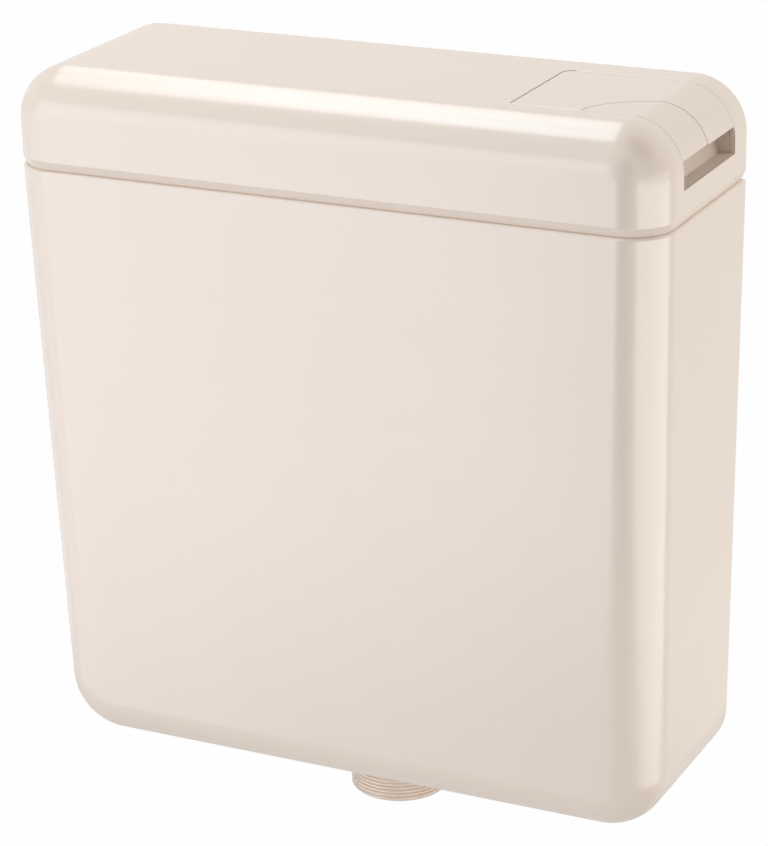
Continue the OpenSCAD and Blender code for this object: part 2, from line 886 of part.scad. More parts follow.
// Rounded block of the float, drawn in by inset
module float_block(inset, z0, z1) {
    hull()
        for (sx = [-1, 1], sy = [-1, 1])
            translate([arm_end_x + sx * (float_half_x - float_corner),
                       fill_y + sy * (float_half_y - float_corner), z0]) {
                cylinder(r = float_corner - inset, h = z1 - z0 - 2.5, $fn = 24);
                cylinder(r = float_corner - 2.5 - inset, h = z1 - z0, $fn = 24);
            }
}

// Inverted cup that floats on the trapped air
module float() {
    color(white)
        difference() {
            union() {
                difference() {
                    float_block(0, float_top - float_h, float_top);
                    float_block(cup_t, float_top - float_h - over, float_top - cup_t);
                }
                translate([arm_end_x, fill_y, float_top - screw_grip - 3])
                    cylinder(r = arm_boss_r - bond, h = screw_grip + 3 - bond);
            }
            translate([arm_end_x, fill_y, float_top - screw_grip - 0.2])
                cylinder(r = screw_r + run, h = screw_grip + over);
        }
}

// Screw bosses under the lid for the key carrier, and the carrier's own levels
boss_r = 4;
boss_h = 8;
carrier_screw_r = 1.5;
cheek_t = 2.5;
cheek_gap = 0.2;
carrier_x0 = bay_x - 6;
carrier_x1 = half_w - 12;
tab_z = top_z - lid_wall - boss_h - 2.6;
boss_y = [bay_y0 - cheek_gap - cheek_t - 6.5, bay_y1 + cheek_gap + cheek_t + 5];
boss_x = [bay_x + 12, bay_x + 62];

module lid() {
    color(ivory)
        difference() {
            union() {
                difference() {
                    union() {
                        lid_form(0, rim_z + band_h);
                        hull() {
                            plan_posts(0, rim_z + band_h, 0.05);
                            plan_posts(band_in, rim_z + lid_seat, 0.05);
                        }
                    }
                    lid_form(lid_wall, rim_z - 2 * lip_h);
                }
                difference() {
                    union() {
                        hull()
                            plan_posts(tank_wall + loose, rim_z - lip_h, lip_h + lid_seat + bond);
                        hull()
                            plan_posts(band_in + bond, rim_z + lid_seat, band_h + 3);
                    }
                    hull()
                        plan_posts(tank_wall + loose + lip_t, rim_z - 2 * lip_h, 2 * lip_h + 20);
                }
                for (x = boss_x, y = boss_y)
                    translate([x, y, top_z - lid_wall - boss_h])
                        cylinder(r = boss_r, h = boss_h + bond);
            }
            box([bay_x, bay_y0, slot_z], [half_w + over, bay_y1, top_z + over]);
            for (x = boss_x, y = boss_y)
                translate([x, y, top_z - lid_wall - boss_h - over])
                    cylinder(r = carrier_screw_r + run, h = boss_h);
        }
}

// Frame under the key bay: cheeks for the pins, struts for the springs, and the recess of the slot
strut_z = rim_z + 30;
strut_t = 3;
full_spring_x = bay_x + 50;
full_spring_y = full_y + 13;
part_spring_x = part_pin_x + 11;
part_spring_y = bay_y0 + 7.5;
rib_y0 = bay_y0 + 12;
rib_y1 = rib_y0 + 3;

cheek_dip = 4;
cheek_dip_x = 40;
cheek_foot_x = 70;
cheek_nose = 14.5;
cheek_head = 2;
recess_t = 2;
recess_gap = 0.2;
recess_top = key_z - 3.5;
recess_x0 = half_w - recess_in;
recess_x1 = half_w - lid_wall - recess_gap;
tie_t = 2.5;
tab_t = 2.5;
tab_half = 5;
tab_front = 11;
tab_back = 9;
rib_half = 4.5;
spring_seat_half = 6;

// Inner face of the side of the lid at height z
function lid_inner_x(z) =
    let (rise = max(0, z - top_z + lid_r))
        half_w - lid_r + sqrt(pow(lid_r - lid_wall, 2) - pow(rise, 2));

module key_carrier() {
    cheek_top = top_z - lid_wall - cheek_head;
    cheek = concat(
        [[carrier_x0, strut_z], [carrier_x0 + cheek_dip_x, strut_z - cheek_dip],
         [carrier_x0 + cheek_foot_x, slot_z - recess_t]],
        [for (z = [slot_z - recess_t, top_z - lid_r, key_z]) [lid_inner_x(z) - recess_gap, z]],
        [[carrier_x1, top_z - cheek_nose], [half_w - lid_r + cheek_head, cheek_top],
         [carrier_x0, cheek_top]]);
    front_y1 = bay_y0 - cheek_gap;
    back_y0 = bay_y1 + cheek_gap;
    color(grey)
        difference() {
            union() {
                xz_plate(cheek, front_y1 - cheek_t, front_y1);
                xz_plate(cheek, back_y0, back_y0 + cheek_t);
                box([carrier_x0, front_y1 - bond, strut_z + strut_t],
                    [carrier_x0 + tie_t, back_y0 + bond, tab_z]);
                xz_plate([[recess_x1, slot_z], [recess_x0, slot_z], [recess_x0 - recess_lean, recess_top],
                          [recess_x0 - recess_lean - recess_t, recess_top],
                          [recess_x0 - recess_t, slot_z - recess_t], [recess_x1, slot_z - recess_t]],
                         front_y1 - bond, back_y0 + bond);
                box([part_pin_x - rib_half, front_y1 - bond, strut_z],
                    [part_spring_x + spring_seat_half - 1, rib_y1, strut_z + strut_t]);
                box([part_pin_x - rib_half, rib_y0, strut_z],
                    [part_pin_x + rib_half, rib_y1, part_pin_z]);
                y_rod(lug_r, part_pin_x, part_pin_z, rib_y0, rib_y1);
                box([full_spring_x - spring_seat_half, full_spring_y - spring_seat_half, strut_z],
                    [full_spring_x + spring_seat_half, back_y0 + bond, strut_z + strut_t]);
                for (x = boss_x) {
                    box([x - tab_half, front_y1 - cheek_t - tab_front, tab_z],
                        [x + tab_half, front_y1 - bond, tab_z + tab_t]);
                    box([x - tab_half, back_y0 + bond, tab_z],
                        [x + tab_half, back_y0 + cheek_t + tab_back, tab_z + tab_t]);
                }
            }
            y_rod(key_pin_r + run, full_pin_x, full_pin_z, y_front, y_back);
            y_rod(key_pin_r + run, part_pin_x, part_pin_z, y_front, rib_y1 + over);
            for (x = boss_x, y = boss_y)
                translate([x, y, tab_z - over])
                    cylinder(r = carrier_screw_r + 0.2, h = 2 * tab_t);
        }
}

module carrier_screws() {
    color(steel)
        for (x = boss_x, y = boss_y)
            translate([x, y, tab_z])
                screw_up(carrier_screw_r, boss_h + 1.5, 2 * carrier_screw_r, pan_h);
}

module full_key_pin() {
    color(steel)
        y_rod(key_pin_r, full_pin_x, full_pin_z, bay_y0 - cheek_gap - cheek_t, bay_y1 + cheek_gap + cheek_t);
}

module part_key_pin() {
    color(steel)
        y_rod(key_pin_r, part_pin_x, part_pin_z, bay_y0 - cheek_gap - cheek_t, rib_y1);
}

// Helical return springs of the keys, as one tube of wire along a helix
coil_r = 3.4;
wire_r = 0.5;
coil_turns = 6;
coil_rings = 8;
wire_sides = 6;

function coil_points(h) = [
    for (i = [0 : coil_turns * coil_rings], k = [0 : wire_sides - 1])
        let (t = 360 * i / coil_rings, a = 360 * k / wire_sides, r = coil_r + wire_r * cos(a))
            [r * cos(t), r * sin(t), wire_r + (h - 2 * wire_r) * i / (coil_turns * coil_rings)
                + wire_r * sin(a)]
];
function coil_faces() = let (n = wire_sides, last = coil_turns * coil_rings) concat(
    [for (i = [0 : last - 1], k = [0 : n - 1], s = [0, 1])
        let (a = i * n + k, b = i * n + (k + 1) % n)
            s == 0 ? [a, b, b + n] : [a, b + n, a + n]],
    [for (k = [1 : n - 2]) [0, k + 1, k]],
    [for (k = [1 : n - 2]) [last * n, last * n + k, last * n + k + 1]]
);
full_spring_h = top_z - full_key_t - strut_z - strut_t - 2 * seat;
part_spring_h = top_z - part_key_t - strut_z - strut_t - 2 * seat;
echo(least_gap_between_turns = (part_spring_h - 2 * wire_r) / coil_turns - 2 * wire_r);

module coil(x, y, h) {
    translate([x, y, strut_z + strut_t + seat])
        polyhedron(coil_points(h), coil_faces());
}

module full_key_spring() {
    color(steel)
        coil(full_spring_x, full_spring_y, full_spring_h);
}

module part_key_spring() {
    color(steel)
        coil(part_spring_x, part_spring_y, part_spring_h);
}

// A post under a key, with a round tip that presses the pad of a lever
module press_post(x, y, top) {
    tip_z = rim_z + pad_z + post_gap + post_t / 2;
    y_rod(post_t / 2, x, tip_z, y - lever_t / 2, y + lever_t / 2);
    box([x - post_t / 2, y - lever_t / 2, tip_z], [x + post_t / 2, y + lever_t / 2, top]);
}

// Section of the lid across the key bay, inset from its outer face
module bay_section(inset) {
    translate([0, rim_z])
        square([half_w - lid_r, lid_h - inset]);
    translate([0, rim_z])
        square([half_w - inset, lid_h - lid_r]);
    translate([half_w - lid_r, top_z - lid_r])
        circle(lid_r - inset);
}

// The wrap-around skin of the lid, of a given depth, along the key bay
module key_skin(depth) {
    translate([0, bay_y1, 0])
        rotate([90, 0, 0])
            linear_extrude(bay_y1 - bay_y0)
                difference() {
                    bay_section(0);
                    bay_section(depth);
                }
}

// Space below the sloping top of the keys, sunk most at their left end
key_end_sink = 0.1;

module key_top() {
    key_end = half_w + tongue_over;
    xz_plate([[bay_x, rim_z], [key_end, rim_z], [key_end, top_z - key_end_sink], [bay_x, top_z - key_sink]],
             y_front, y_back);
}

full_lugs_y = [bay_y0 + 8, bay_y1 - 12];
full_lug_w = 4;

module full_flush_key() {
    color(ivory)
        difference() {
            union() {
                intersection() {
                    key_skin(full_key_t);
                    difference() {
                        box([bay_x + key_gap, bay_y0 + key_gap, key_z],
                            [half_w + over, bay_y1 - key_gap, top_z + over]);
                        translate([0, 0, rim_z])
                            linear_extrude(2 * lid_h)
                                polygon(concat(tongue_points(key_gap / 2), [
                                    [half_w + 2 * tongue_over, bay_y0 + tongue_w + key_gap / 2],
                                    [half_w + 2 * tongue_over, bay_y0 - over],
                                    [half_w - tongue_len - key_gap / 2, bay_y0 - over]
                                ]));
                    }
                    key_top();
                }
                for (y = full_lugs_y) {
                    y_rod(lug_r, full_pin_x, full_pin_z, y, y + full_lug_w);
                    box([full_pin_x - lug_r, y, full_pin_z],
                        [full_pin_x + lug_r, y + full_lug_w, top_z - full_key_t + bond]);
                }
                press_post(full_post_x, full_y, top_z - full_key_t + bond);
            }
            y_rod(key_pin_r + run, full_pin_x, full_pin_z, bay_y0, bay_y1);
        }
}

part_lug_y = [bay_y0 + 3, bay_y0 + 10.5];

module part_flush_key() {
    color(ivory)
        difference() {
            union() {
                intersection() {
                    key_skin(part_key_t);
                    translate([0, 0, key_z])
                        linear_extrude(lid_h)
                            difference() {
                                polygon(concat(tongue_points(-key_gap / 2), [
                                    [half_w + 2 * tongue_over, bay_y0 + tongue_w - key_gap / 2],
                                    [half_w + 2 * tongue_over, bay_y0]
                                ]));
                                translate([0, bay_y0 - over])
                                    square([tank_w, over + key_gap]);
                            }
                    key_top();
                }
                y_rod(lug_r, part_pin_x, part_pin_z, part_lug_y[0], part_lug_y[1]);
                box([part_pin_x, part_lug_y[0], part_pin_z],
                    [part_pin_x + lug_r, part_lug_y[1] - 1.5, top_z - part_key_t + bond]);
                press_post(part_post_x, part_pad_y, top_z - part_key_t + bond);
            }
            y_rod(key_pin_r + run, part_pin_x, part_pin_z, bay_y0, bay_y1);
        }
}

tank();
foam_liner();
outlet_spigot();
spigot_seal();
valve_basket();
overflow_tube();
valve_seal();
seal_retainer();
full_flush_float();
lift_yoke();
part_flush_rod();
part_flush_float();
mechanism_bridge();
bridge_screws();
lever_pin();
full_flush_lever();
part_flush_lever();
fill_valve_body();
fill_valve_clip();
union_nut();
union_washer();
inlet_strainer();
hush_tube();
fill_plunger();
plunger_seal();
float_arm();
float_arm_pin();
float_screw();
float();
lid();
key_carrier();
carrier_screws();
full_key_pin();
part_key_pin();
full_key_spring();
part_key_spring();
full_flush_key();
part_flush_key();
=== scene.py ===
"""Dresses the wall-hung cistern: clean meshes for the shells, keys, thread, springs and screws,
procedural materials on every piece, soft studio light and the photograph's camera."""
import json
import math

import bmesh
import bpy
from mathutils import Matrix, Vector


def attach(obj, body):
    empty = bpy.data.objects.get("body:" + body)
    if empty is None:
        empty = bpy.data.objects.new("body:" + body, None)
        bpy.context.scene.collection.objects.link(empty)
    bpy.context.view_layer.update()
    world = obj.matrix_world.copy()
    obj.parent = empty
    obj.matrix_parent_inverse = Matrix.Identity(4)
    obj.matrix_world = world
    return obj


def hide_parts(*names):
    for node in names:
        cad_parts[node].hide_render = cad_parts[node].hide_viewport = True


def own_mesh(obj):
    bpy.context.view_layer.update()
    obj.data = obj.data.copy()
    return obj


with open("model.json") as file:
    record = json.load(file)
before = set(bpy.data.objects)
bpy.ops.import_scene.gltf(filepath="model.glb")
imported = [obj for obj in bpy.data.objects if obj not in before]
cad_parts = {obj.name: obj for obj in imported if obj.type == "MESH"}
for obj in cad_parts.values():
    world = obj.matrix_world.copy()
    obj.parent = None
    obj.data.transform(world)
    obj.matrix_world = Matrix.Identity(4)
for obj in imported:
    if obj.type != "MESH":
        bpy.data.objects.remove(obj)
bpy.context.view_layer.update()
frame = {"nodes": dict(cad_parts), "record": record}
nodes = frame["nodes"]

# Meshes are made in millimetres and scaled at the end
MM = 0.001

# Shells, as in the part's source
HALF_W = 200.0
Y_BACK = 45.0
Y_FRONT = -86.0
UNDERSIDE_Z = 31.0
RIM_Z = 391.5
TOP_Z = 449.0
SIDE_DRAFT = 6.0
FRONT_DRAFT = 10.0
WALL = 3.0
BOTTOM_R = 36.5
FRONT_R = 25.5
LID_R = 30.5
BAND_H = 5.3
BAND_IN = 2.0
LIP_H = 3.0
LIP_T = 2.0

# Clearances of loose, running and seated fits, the overlap of joined forms and the overshoot of cutters
LOOSE = 0.4
RUN = 0.05
SEAT = 0.1
BOND = 0.5
OVER = 1.0
# Overshoot where a cutter has to pass everything
CLEAR = 20.0

# Key bay and keys, as in the part's source
BAY_X = 99.5
BAY_Y0 = -51.5
BAY_Y1 = 26.5
KEY_Z = 425.5
SLOT_Z = 410.5
KEY_GAP = 0.7
FULL_KEY_T = 3.6
PART_KEY_T = 2.6
TONGUE_LEN = 59.0
TONGUE_W = 38.0
TONGUE_OVER = 5.0
FULL_PIN = (104.5, 440.0)
PART_PIN = (146.0, 436.0)
KEY_PIN_R = 1.5
LUG_R = 3.8
PAD_TOP = 407.5
POST_T = 4.0
POST_GAP = 0.4
LEVER_T = 8.0
LEVER_X = 125.0
STRUT_TOP = 424.6

# Finer than the source: rounded edges and corners, and narrower gaps at the lid and keys
RIM_ROUND = 1.5
LID_SEAT = 0.06
BAY_R_FRONT = 1.5
BAY_R_BACK = 6.0
BAY_EDGE = 0.9
KEY_SIDE_GAP = 0.3
KEY_SINK = 0.25
FULL_KEY_NOSE = 0.5
PART_KEY_NOSE = 1.3
TANK_EDGE = 0.4
LIP_EDGE = 0.3
LINER_EDGE = 0.9

# Segments of a quarter round on the shells, of the rim's round and of the small rounds
QUARTER = 32
RIM_STEPS = 6
NOSE_STEPS = 10
CORNER_STEPS = 12
EDGE_STEPS = 8
HALF_ROUND = 24
ROD_SIDES = 48

# Angles in degrees: faces that turn less merge, edges that turn more are rounded or stay crisp
FLAT_ANGLE = 0.15
SOFTEN_ANGLE = 35.0
SHARP_ANGLE = 32.0
LID_SHARP_ANGLE = 15.0
# Points this close merge after a boolean
MERGE = 0.002


# Mesh helpers

def as_object(bm, name="work"):
    """An object of a finished bmesh."""
    bmesh.ops.recalc_face_normals(bm, faces=bm.faces)
    mesh = bpy.data.meshes.new(name)
    bm.to_mesh(mesh)
    bm.free()
    obj = bpy.data.objects.new(name, mesh)
    bpy.context.scene.collection.objects.link(obj)
    return obj


def arc(start, stop, count=QUARTER):
    """Angles in radians from start to stop degrees."""
    return [math.radians(start + (stop - start) * i / count) for i in range(count + 1)]


def turns(sides):
    """Angles in radians of the corners of a regular polygon."""
    return [2 * math.pi * i / sides for i in range(sides)]


def solid(points):
    """Convex solid round a cloud of points, with its flat faces merged."""
    bm = bmesh.new()
    for p in points:
        bm.verts.new(p)
    made = bmesh.ops.convex_hull(bm, input=bm.verts)
    unused = {v for v in made["geom_interior"] + made["geom_unused"] if isinstance(v, bmesh.types.BMVert)}
    bmesh.ops.delete(bm, geom=list(unused), context="VERTS")
    bmesh.ops.dissolve_limit(bm, angle_limit=math.radians(FLAT_ANGLE), verts=bm.verts, edges=bm.edges)
    return as_object(bm)


def box(low, high):
    """A box between two corners."""
    return solid([(x, y, z) for x in (low[0], high[0]) for y in (low[1], high[1]) for z in (low[2], high[2])])


def prism(outline, axis, low, high):
    """A closed outline pushed along an axis; its points hold the two other coordinates in order."""
    def place(p, d):
        return {"x": (d, p[0], p[1]), "y": (p[0], d, p[1]), "z": (p[0], p[1], d)}[axis]

    bm = bmesh.new()
    rings = [[bm.verts.new(place(p, d)) for p in outline] for d in (low, high)]
    count = len(outline)
    for i in range(count):
        j = (i + 1) % count
        bm.faces.new((rings[0][i], rings[0][j], rings[1][j], rings[1][i]))
    bm.faces.new(rings[0])
    bm.faces.new(rings[1])
    return as_object(bm)


def rod(r, start, end, sides=ROD_SIDES):
    """A cylinder between two points."""
    a, b = Vector(start), Vector(end)
    turn = (b - a).to_track_quat("Z", "Y").to_matrix()
    ring = [turn @ Vector((r * math.cos(t), r * math.sin(t), 0)) for t in turns(sides)]
    return solid([a + p for p in ring] + [b + p for p in ring])


def y_rod(r, x, z, y0, y1, sides=ROD_SIDES):
    """A cylinder from front to back."""
    return rod(r, (x, y0, z), (x, y1, z), sides)


def skin(bm, rings):
    """Closes a torus of rings of points with faces."""
    for k, low in enumerate(rings):
        high = rings[(k + 1) % len(rings)]
        for i in range(len(low)):
            j = (i + 1) % len(low)
            bm.faces.new((low[i], low[j], high[j], high[i]))


def lathe(profile, sides, centre):
    """A closed profile of (radius, z) points turned round the Z axis through centre."""
    x, y, z = centre
    bm = bmesh.new()
    skin(bm, [[bm.verts.new((x + r * math.cos(t), y + r * math.sin(t), z + up)) for t in turns(sides)]
              for r, up in profile])
    return as_object(bm)


def discard(obj):
    """Removes an object and its mesh."""
    mesh = obj.data
    bpy.data.objects.remove(obj)
    bpy.data.meshes.remove(mesh)


def combine(target, tools, operation):
    """Boolean of a target with each tool in turn; the tools are used up."""
    for tool in tools:
        mod = target.modifiers.new("cut", "BOOLEAN")
        mod.operation = operation
        mod.solver = "EXACT"
        mod.object = tool
        graph = bpy.context.evaluated_depsgraph_get()
        mesh = bpy.data.meshes.new_from_object(target.evaluated_get(graph))
        target.modifiers.clear()
        old, target.data = target.data, mesh
        bpy.data.meshes.remove(old)
        discard(tool)
    return target


def cut(target, *tools):
    """Takes the tools away from a target."""
    return combine(target, tools, "DIFFERENCE")


def add(target, *tools):
    """Fuses the tools to a target."""
    return combine(target, tools, "UNION")


def keep(target, *tools):
    """Keeps what a target shares with each tool."""
    return combine(target, tools, "INTERSECT")


def joined(first, *others):
    """Joins separate solids into one object."""
    bm = bmesh.new()
    for obj in (first, *others):
        bm.from_mesh(obj.data)
    bm.to_mesh(first.data)
    bm.free()
    for obj in others:
        discard(obj)
    return first


def soften(obj, width, segments, where=None):
    """Rounds every sharp edge, or those of them that where() picks by their middle."""
    bm = bmesh.new()
    bm.from_mesh(obj.data)
    bmesh.ops.remove_doubles(bm, verts=bm.verts, dist=MERGE)
    bmesh.ops.dissolve_degenerate(bm, edges=bm.edges, dist=MERGE)
    sharp = [e for e in bm.edges if len(e.link_faces) == 2
             and e.calc_face_angle(0.0) > math.radians(SOFTEN_ANGLE)
             and (where is None or where((e.verts[0].co + e.verts[1].co) / 2))]
    bmesh.ops.bevel(bm, geom=sharp, offset=width, segments=segments, profile=0.5,
                    affect="EDGES", clamp_overlap=True, offset_type="OFFSET")
    bm.to_mesh(obj.data)
    bm.free()
    return obj


def finish_piece(obj, name, slot, body, stands_for, crisp=SHARP_ANGLE):
    """Scales a mesh to metres, shades it smooth up to an angle, dresses it and hangs it on its body."""
    obj.name = name
    obj.data.name = name
    obj.data.transform(Matrix.Scale(MM, 4))
    obj.data.shade_smooth()
    obj.data.set_sharp_from_angle(angle=math.radians(crisp))
    normals = obj.modifiers.new("normals", "WEIGHTED_NORMAL")
    normals.mode = "FACE_AREA"
    normals.keep_sharp = True
    obj.data.materials.clear()
    obj.data.materials.append(looks[slot])
    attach(obj, body)
    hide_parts(stands_for)
    return obj


# Node materials

def material(name, **values):
    """A Principled material; values are constants for its own sockets."""
    mat = bpy.data.materials.new(name)
    mat.use_nodes = True
    shader = mat.node_tree.nodes["Principled BSDF"]
    for key, value in values.items():
        shader.inputs[key.replace("_", " ")].default_value = value
    return mat, mat.node_tree, shader


def object_coords(tree):
    """The socket of object coordinates."""
    return tree.nodes.new("ShaderNodeTexCoord").outputs["Object"]


def texture(tree, kind, coords, **settings):
    """A texture node on some coordinates, with inputs or properties set by name."""
    node = tree.nodes.new(kind)
    tree.links.new(coords, node.inputs["Vector"])
    for key, value in settings.items():
        if key in node.inputs:
            node.inputs[key].default_value = value
        else:
            setattr(node, key, value)
    return node


def ramp(tree, factor, stops):
    """A colour ramp from (position, colour) stops."""
    node = tree.nodes.new("ShaderNodeValToRGB")
    ends = node.color_ramp.elements
    while len(ends) < len(stops):
        ends.new(0.5)
    for element, (position, colour) in zip(ends, stops):
        element.position = position
        element.color = (*colour, 1.0)
    tree.links.new(factor, node.inputs["Fac"])
    return node.outputs["Color"]


def spread(tree, factor, low, high):
    """Maps a factor of 0 to 1 onto a range."""
    node = tree.nodes.new("ShaderNodeMapRange")
    node.inputs["To Min"].default_value = low
    node.inputs["To Max"].default_value = high
    tree.links.new(factor, node.inputs["Value"])
    return node.outputs["Result"]


def relief(tree, shader, height, strength, distance):
    """Bump from a height."""
    bump = tree.nodes.new("ShaderNodeBump")
    bump.inputs["Strength"].default_value = strength
    bump.inputs["Distance"].default_value = distance
    tree.links.new(height, bump.inputs["Height"])
    tree.links.new(bump.outputs["Normal"], shader.inputs["Normal"])


def shade(colour, k):
    """A lighter or darker colour."""
    return tuple(min(1.0, c * k) for c in colour)


def moulded(name, colour, rough, grain=420.0, depth=0.00002, drift=0.025, **values):
    """Moulded plastic: faint flow clouds in the colour, uneven gloss and a fine skin."""
    mat, tree, shader = material(name, **values)
    coords = object_coords(tree)
    clouds = texture(tree, "ShaderNodeTexNoise", coords, Scale=9.0, Detail=4.0, Roughness=0.55)
    tint = ramp(tree, clouds.outputs["Fac"],
                [(0.3, shade(colour, 1 - drift)), (0.55, colour), (0.8, shade(colour, 1 + drift))])
    tree.links.new(tint, shader.inputs["Base Color"])
    gloss = texture(tree, "ShaderNodeTexNoise", coords, Scale=34.0, Detail=5.0, Roughness=0.6)
    tree.links.new(spread(tree, gloss.outputs["Fac"], *rough), shader.inputs["Roughness"])
    grains = texture(tree, "ShaderNodeTexNoise", coords, Scale=grain, Detail=2.0, Roughness=0.5)
    relief(tree, shader, grains.outputs["Fac"], strength=0.12, distance=depth)
    return mat


def foam_bead(name, colour):
    """Expanded foam: packed beads a few millimetres across with dark joints."""
    mat, tree, shader = material(name, Specular_IOR_Level=0.25)
    beads = texture(tree, "ShaderNodeTexVoronoi", object_coords(tree), Scale=260.0,
                    feature="DISTANCE_TO_EDGE")
    joints = ramp(tree, beads.outputs["Distance"], [(0.0, shade(colour, 0.8)), (0.12, colour)])
    tree.links.new(joints, shader.inputs["Base Color"])
    tree.links.new(spread(tree, beads.outputs["Distance"], 0.7, 0.9), shader.inputs["Roughness"])
    relief(tree, shader, joints, strength=0.5, distance=0.0006)
    return mat


def rubber(name, colour):
    """Matte rubber with bloom."""
    mat, tree, shader = material(name, Specular_IOR_Level=0.35)
    coords = object_coords(tree)
    bloom = texture(tree, "ShaderNodeTexNoise", coords, Scale=60.0, Detail=6.0)
    tint = ramp(tree, bloom.outputs["Fac"], [(0.35, colour), (0.75, shade(colour, 1.9))])
    tree.links.new(tint, shader.inputs["Base Color"])
    tree.links.new(spread(tree, bloom.outputs["Fac"], 0.55, 0.8), shader.inputs["Roughness"])
    pores = texture(tree, "ShaderNodeTexNoise", coords, Scale=1500.0, Detail=2.0)
    relief(tree, shader, pores.outputs["Fac"], strength=0.3, distance=0.00005)
    return mat


def metal(name, colour, rough, stretch, scale):
    """Bare metal with fine drawn or turned lines along the stretched axis."""
    mat, tree, shader = material(name, Metallic=1.0)
    mapping = tree.nodes.new("ShaderNodeMapping")
    mapping.inputs["Scale"].default_value = stretch
    tree.links.new(object_coords(tree), mapping.inputs["Vector"])
    lines = texture(tree, "ShaderNodeTexNoise", mapping.outputs["Vector"], Scale=scale, Detail=3.0)
    tint = ramp(tree, lines.outputs["Fac"], [(0.3, shade(colour, 0.86)), (0.7, colour)])
    tree.links.new(tint, shader.inputs["Base Color"])
    tree.links.new(spread(tree, lines.outputs["Fac"], *rough), shader.inputs["Roughness"])
    relief(tree, shader, lines.outputs["Fac"], strength=0.25, distance=0.00004)
    return mat


looks = {
    "ivory_plastic": moulded("ivory_plastic", (0.800, 0.675, 0.572), rough=(0.20, 0.27),
                             grain=700.0, depth=0.000012, drift=0.012, IOR=1.75),
    # The carrier is the shells' ivory painted a little darker, as painted shade inside the finger pocket
    # under the keys.
    "carrier_plastic": moulded("carrier_plastic", (0.78, 0.65, 0.535), rough=(0.32, 0.42)),
    "white_plastic": moulded("white_plastic", (0.80, 0.80, 0.78), rough=(0.32, 0.45)),
    "grey_plastic": moulded("grey_plastic", (0.30, 0.32, 0.345), rough=(0.36, 0.5)),
    "blue_plastic": moulded("blue_plastic", (0.045, 0.155, 0.42), rough=(0.34, 0.46), drift=0.08),
    "foam": foam_bead("foam", (0.86, 0.86, 0.845)),
    "black_rubber": rubber("black_rubber", (0.012, 0.012, 0.013)),
    "steel": metal("steel", (0.60, 0.61, 0.63), rough=(0.22, 0.38), stretch=(1.0, 0.06, 1.0), scale=900.0),
    "brass": metal("brass", (0.72, 0.50, 0.20), rough=(0.22, 0.36), stretch=(1.0, 0.08, 1.0), scale=700.0),
}


# Rounded shells

def corner_points(side, up, big_r, inset, y_centre, z_centre, x_centre):
    """Front corner of a shell: outline radius big_r seen from the front, edge radius FRONT_R."""
    points = []
    for a in arc(0, 90):
        for b in arc(0, 90):
            reach = big_r - FRONT_R + (FRONT_R - inset) * math.cos(b)
            points.append((side * (x_centre + reach * math.cos(a)),
                           y_centre - (FRONT_R - inset) * math.sin(b),
                           z_centre + up * reach * math.sin(a)))
    return points


def back_points(side, up, big_r, inset, z_centre, x_centre):
    """Back corner of a shell, square to the wall."""
    r = big_r - inset
    return [(side * (x_centre + r * math.cos(a)), Y_BACK - inset, z_centre + up * r * math.sin(a))
            for a in arc(0, 90)]


def plan_points(inset, *levels):
    """Plan outline of the rim at some levels: round at the front and square at the back."""
    points = []
    for z in levels:
        for side in (-1, 1):
            for a in arc(0, 90):
                points.append((side * (HALF_W - FRONT_R + (FRONT_R - inset) * math.cos(a)),
                               Y_FRONT + FRONT_R - (FRONT_R - inset) * math.sin(a), z))
            points.append((side * (HALF_W - inset), Y_BACK - inset, z))
    return points


def tank_form(inset, z_high, rim_round=0.0):
    """Full form of the tank, less an inset, up to a level, with its rim rounded where asked."""
    x_centre = HALF_W - SIDE_DRAFT - BOTTOM_R
    y_centre = Y_FRONT + FRONT_DRAFT + FRONT_R
    z_centre = UNDERSIDE_Z + BOTTOM_R
    points = []
    for a in arc(0, 90, RIM_STEPS) if rim_round else [0.0]:
        points += plan_points(inset + rim_round * (1 - math.cos(a)), z_high - rim_round * (1 - math.sin(a)))
    for side in (-1, 1):
        points += corner_points(side, -1, BOTTOM_R, inset, y_centre, z_centre, x_centre)
        points += back_points(side, -1, BOTTOM_R, inset, z_centre, x_centre)
    return solid(points)


def lid_form(inset, z_low):
    """Full form of the lid, less an inset, down to a level."""
    x_centre = HALF_W - LID_R
    z_centre = TOP_Z - LID_R
    points = plan_points(inset, z_low)
    for side in (-1, 1):
        points += corner_points(side, 1, LID_R, inset, Y_FRONT + FRONT_R, z_centre, x_centre)
        points += back_points(side, 1, LID_R, inset, z_centre, x_centre)
    return solid(points)


# Tank: shell, ledges of the bridge, cradle of the fill valve, outlet, supply and wall openings
FILL_X = -62.0
FILL_Z = 357.5
CRADLE_Y = (12.0, 15.5)
CRADLE_HALF = 21.0
CRADLE_LOW = FILL_Z - 22.0
CRADLE_TOP = FILL_Z + 2.0
MOUTH_TOP = FILL_Z + 10.0
ARM_HALF = 1.5
NECK_R = 9.0
SUPPLY_R = 16.0
THREAD_R = 29.8
LEDGE_Z = 375.5
LEDGE_T = 6.1
LEDGE_REACH = 9.0
BRIDGE_HALF = 7.0
BRIDGE_SCREW_R = 1.6
BRIDGE_SCREW_Y = (-76.2, 35.6)
SLOT_X = 130.0
SLOT_DROP = 24.0
SLOT_W = 7.0
SLOT_LEN = 16.0
# Ledges and arms start inside the walls
ROOT_FRONT = Y_FRONT + 1.6
ROOT_BACK = Y_BACK - 1.0


def wall_slot(x):
    """Cutter of a level slot with round ends for a wall screw."""
    reach = (SLOT_LEN - SLOT_W) / 2
    z = RIM_Z - SLOT_DROP
    points = []
    for side in (-1, 1):
        for a in arc(-90, 90, HALF_ROUND):
            points.append((x + side * (reach + SLOT_W / 2 * math.cos(a)), z + SLOT_W / 2 * math.sin(a)))
    return solid([(px, y, pz) for px, pz in points for y in (Y_BACK - WALL - OVER, Y_BACK + OVER)])


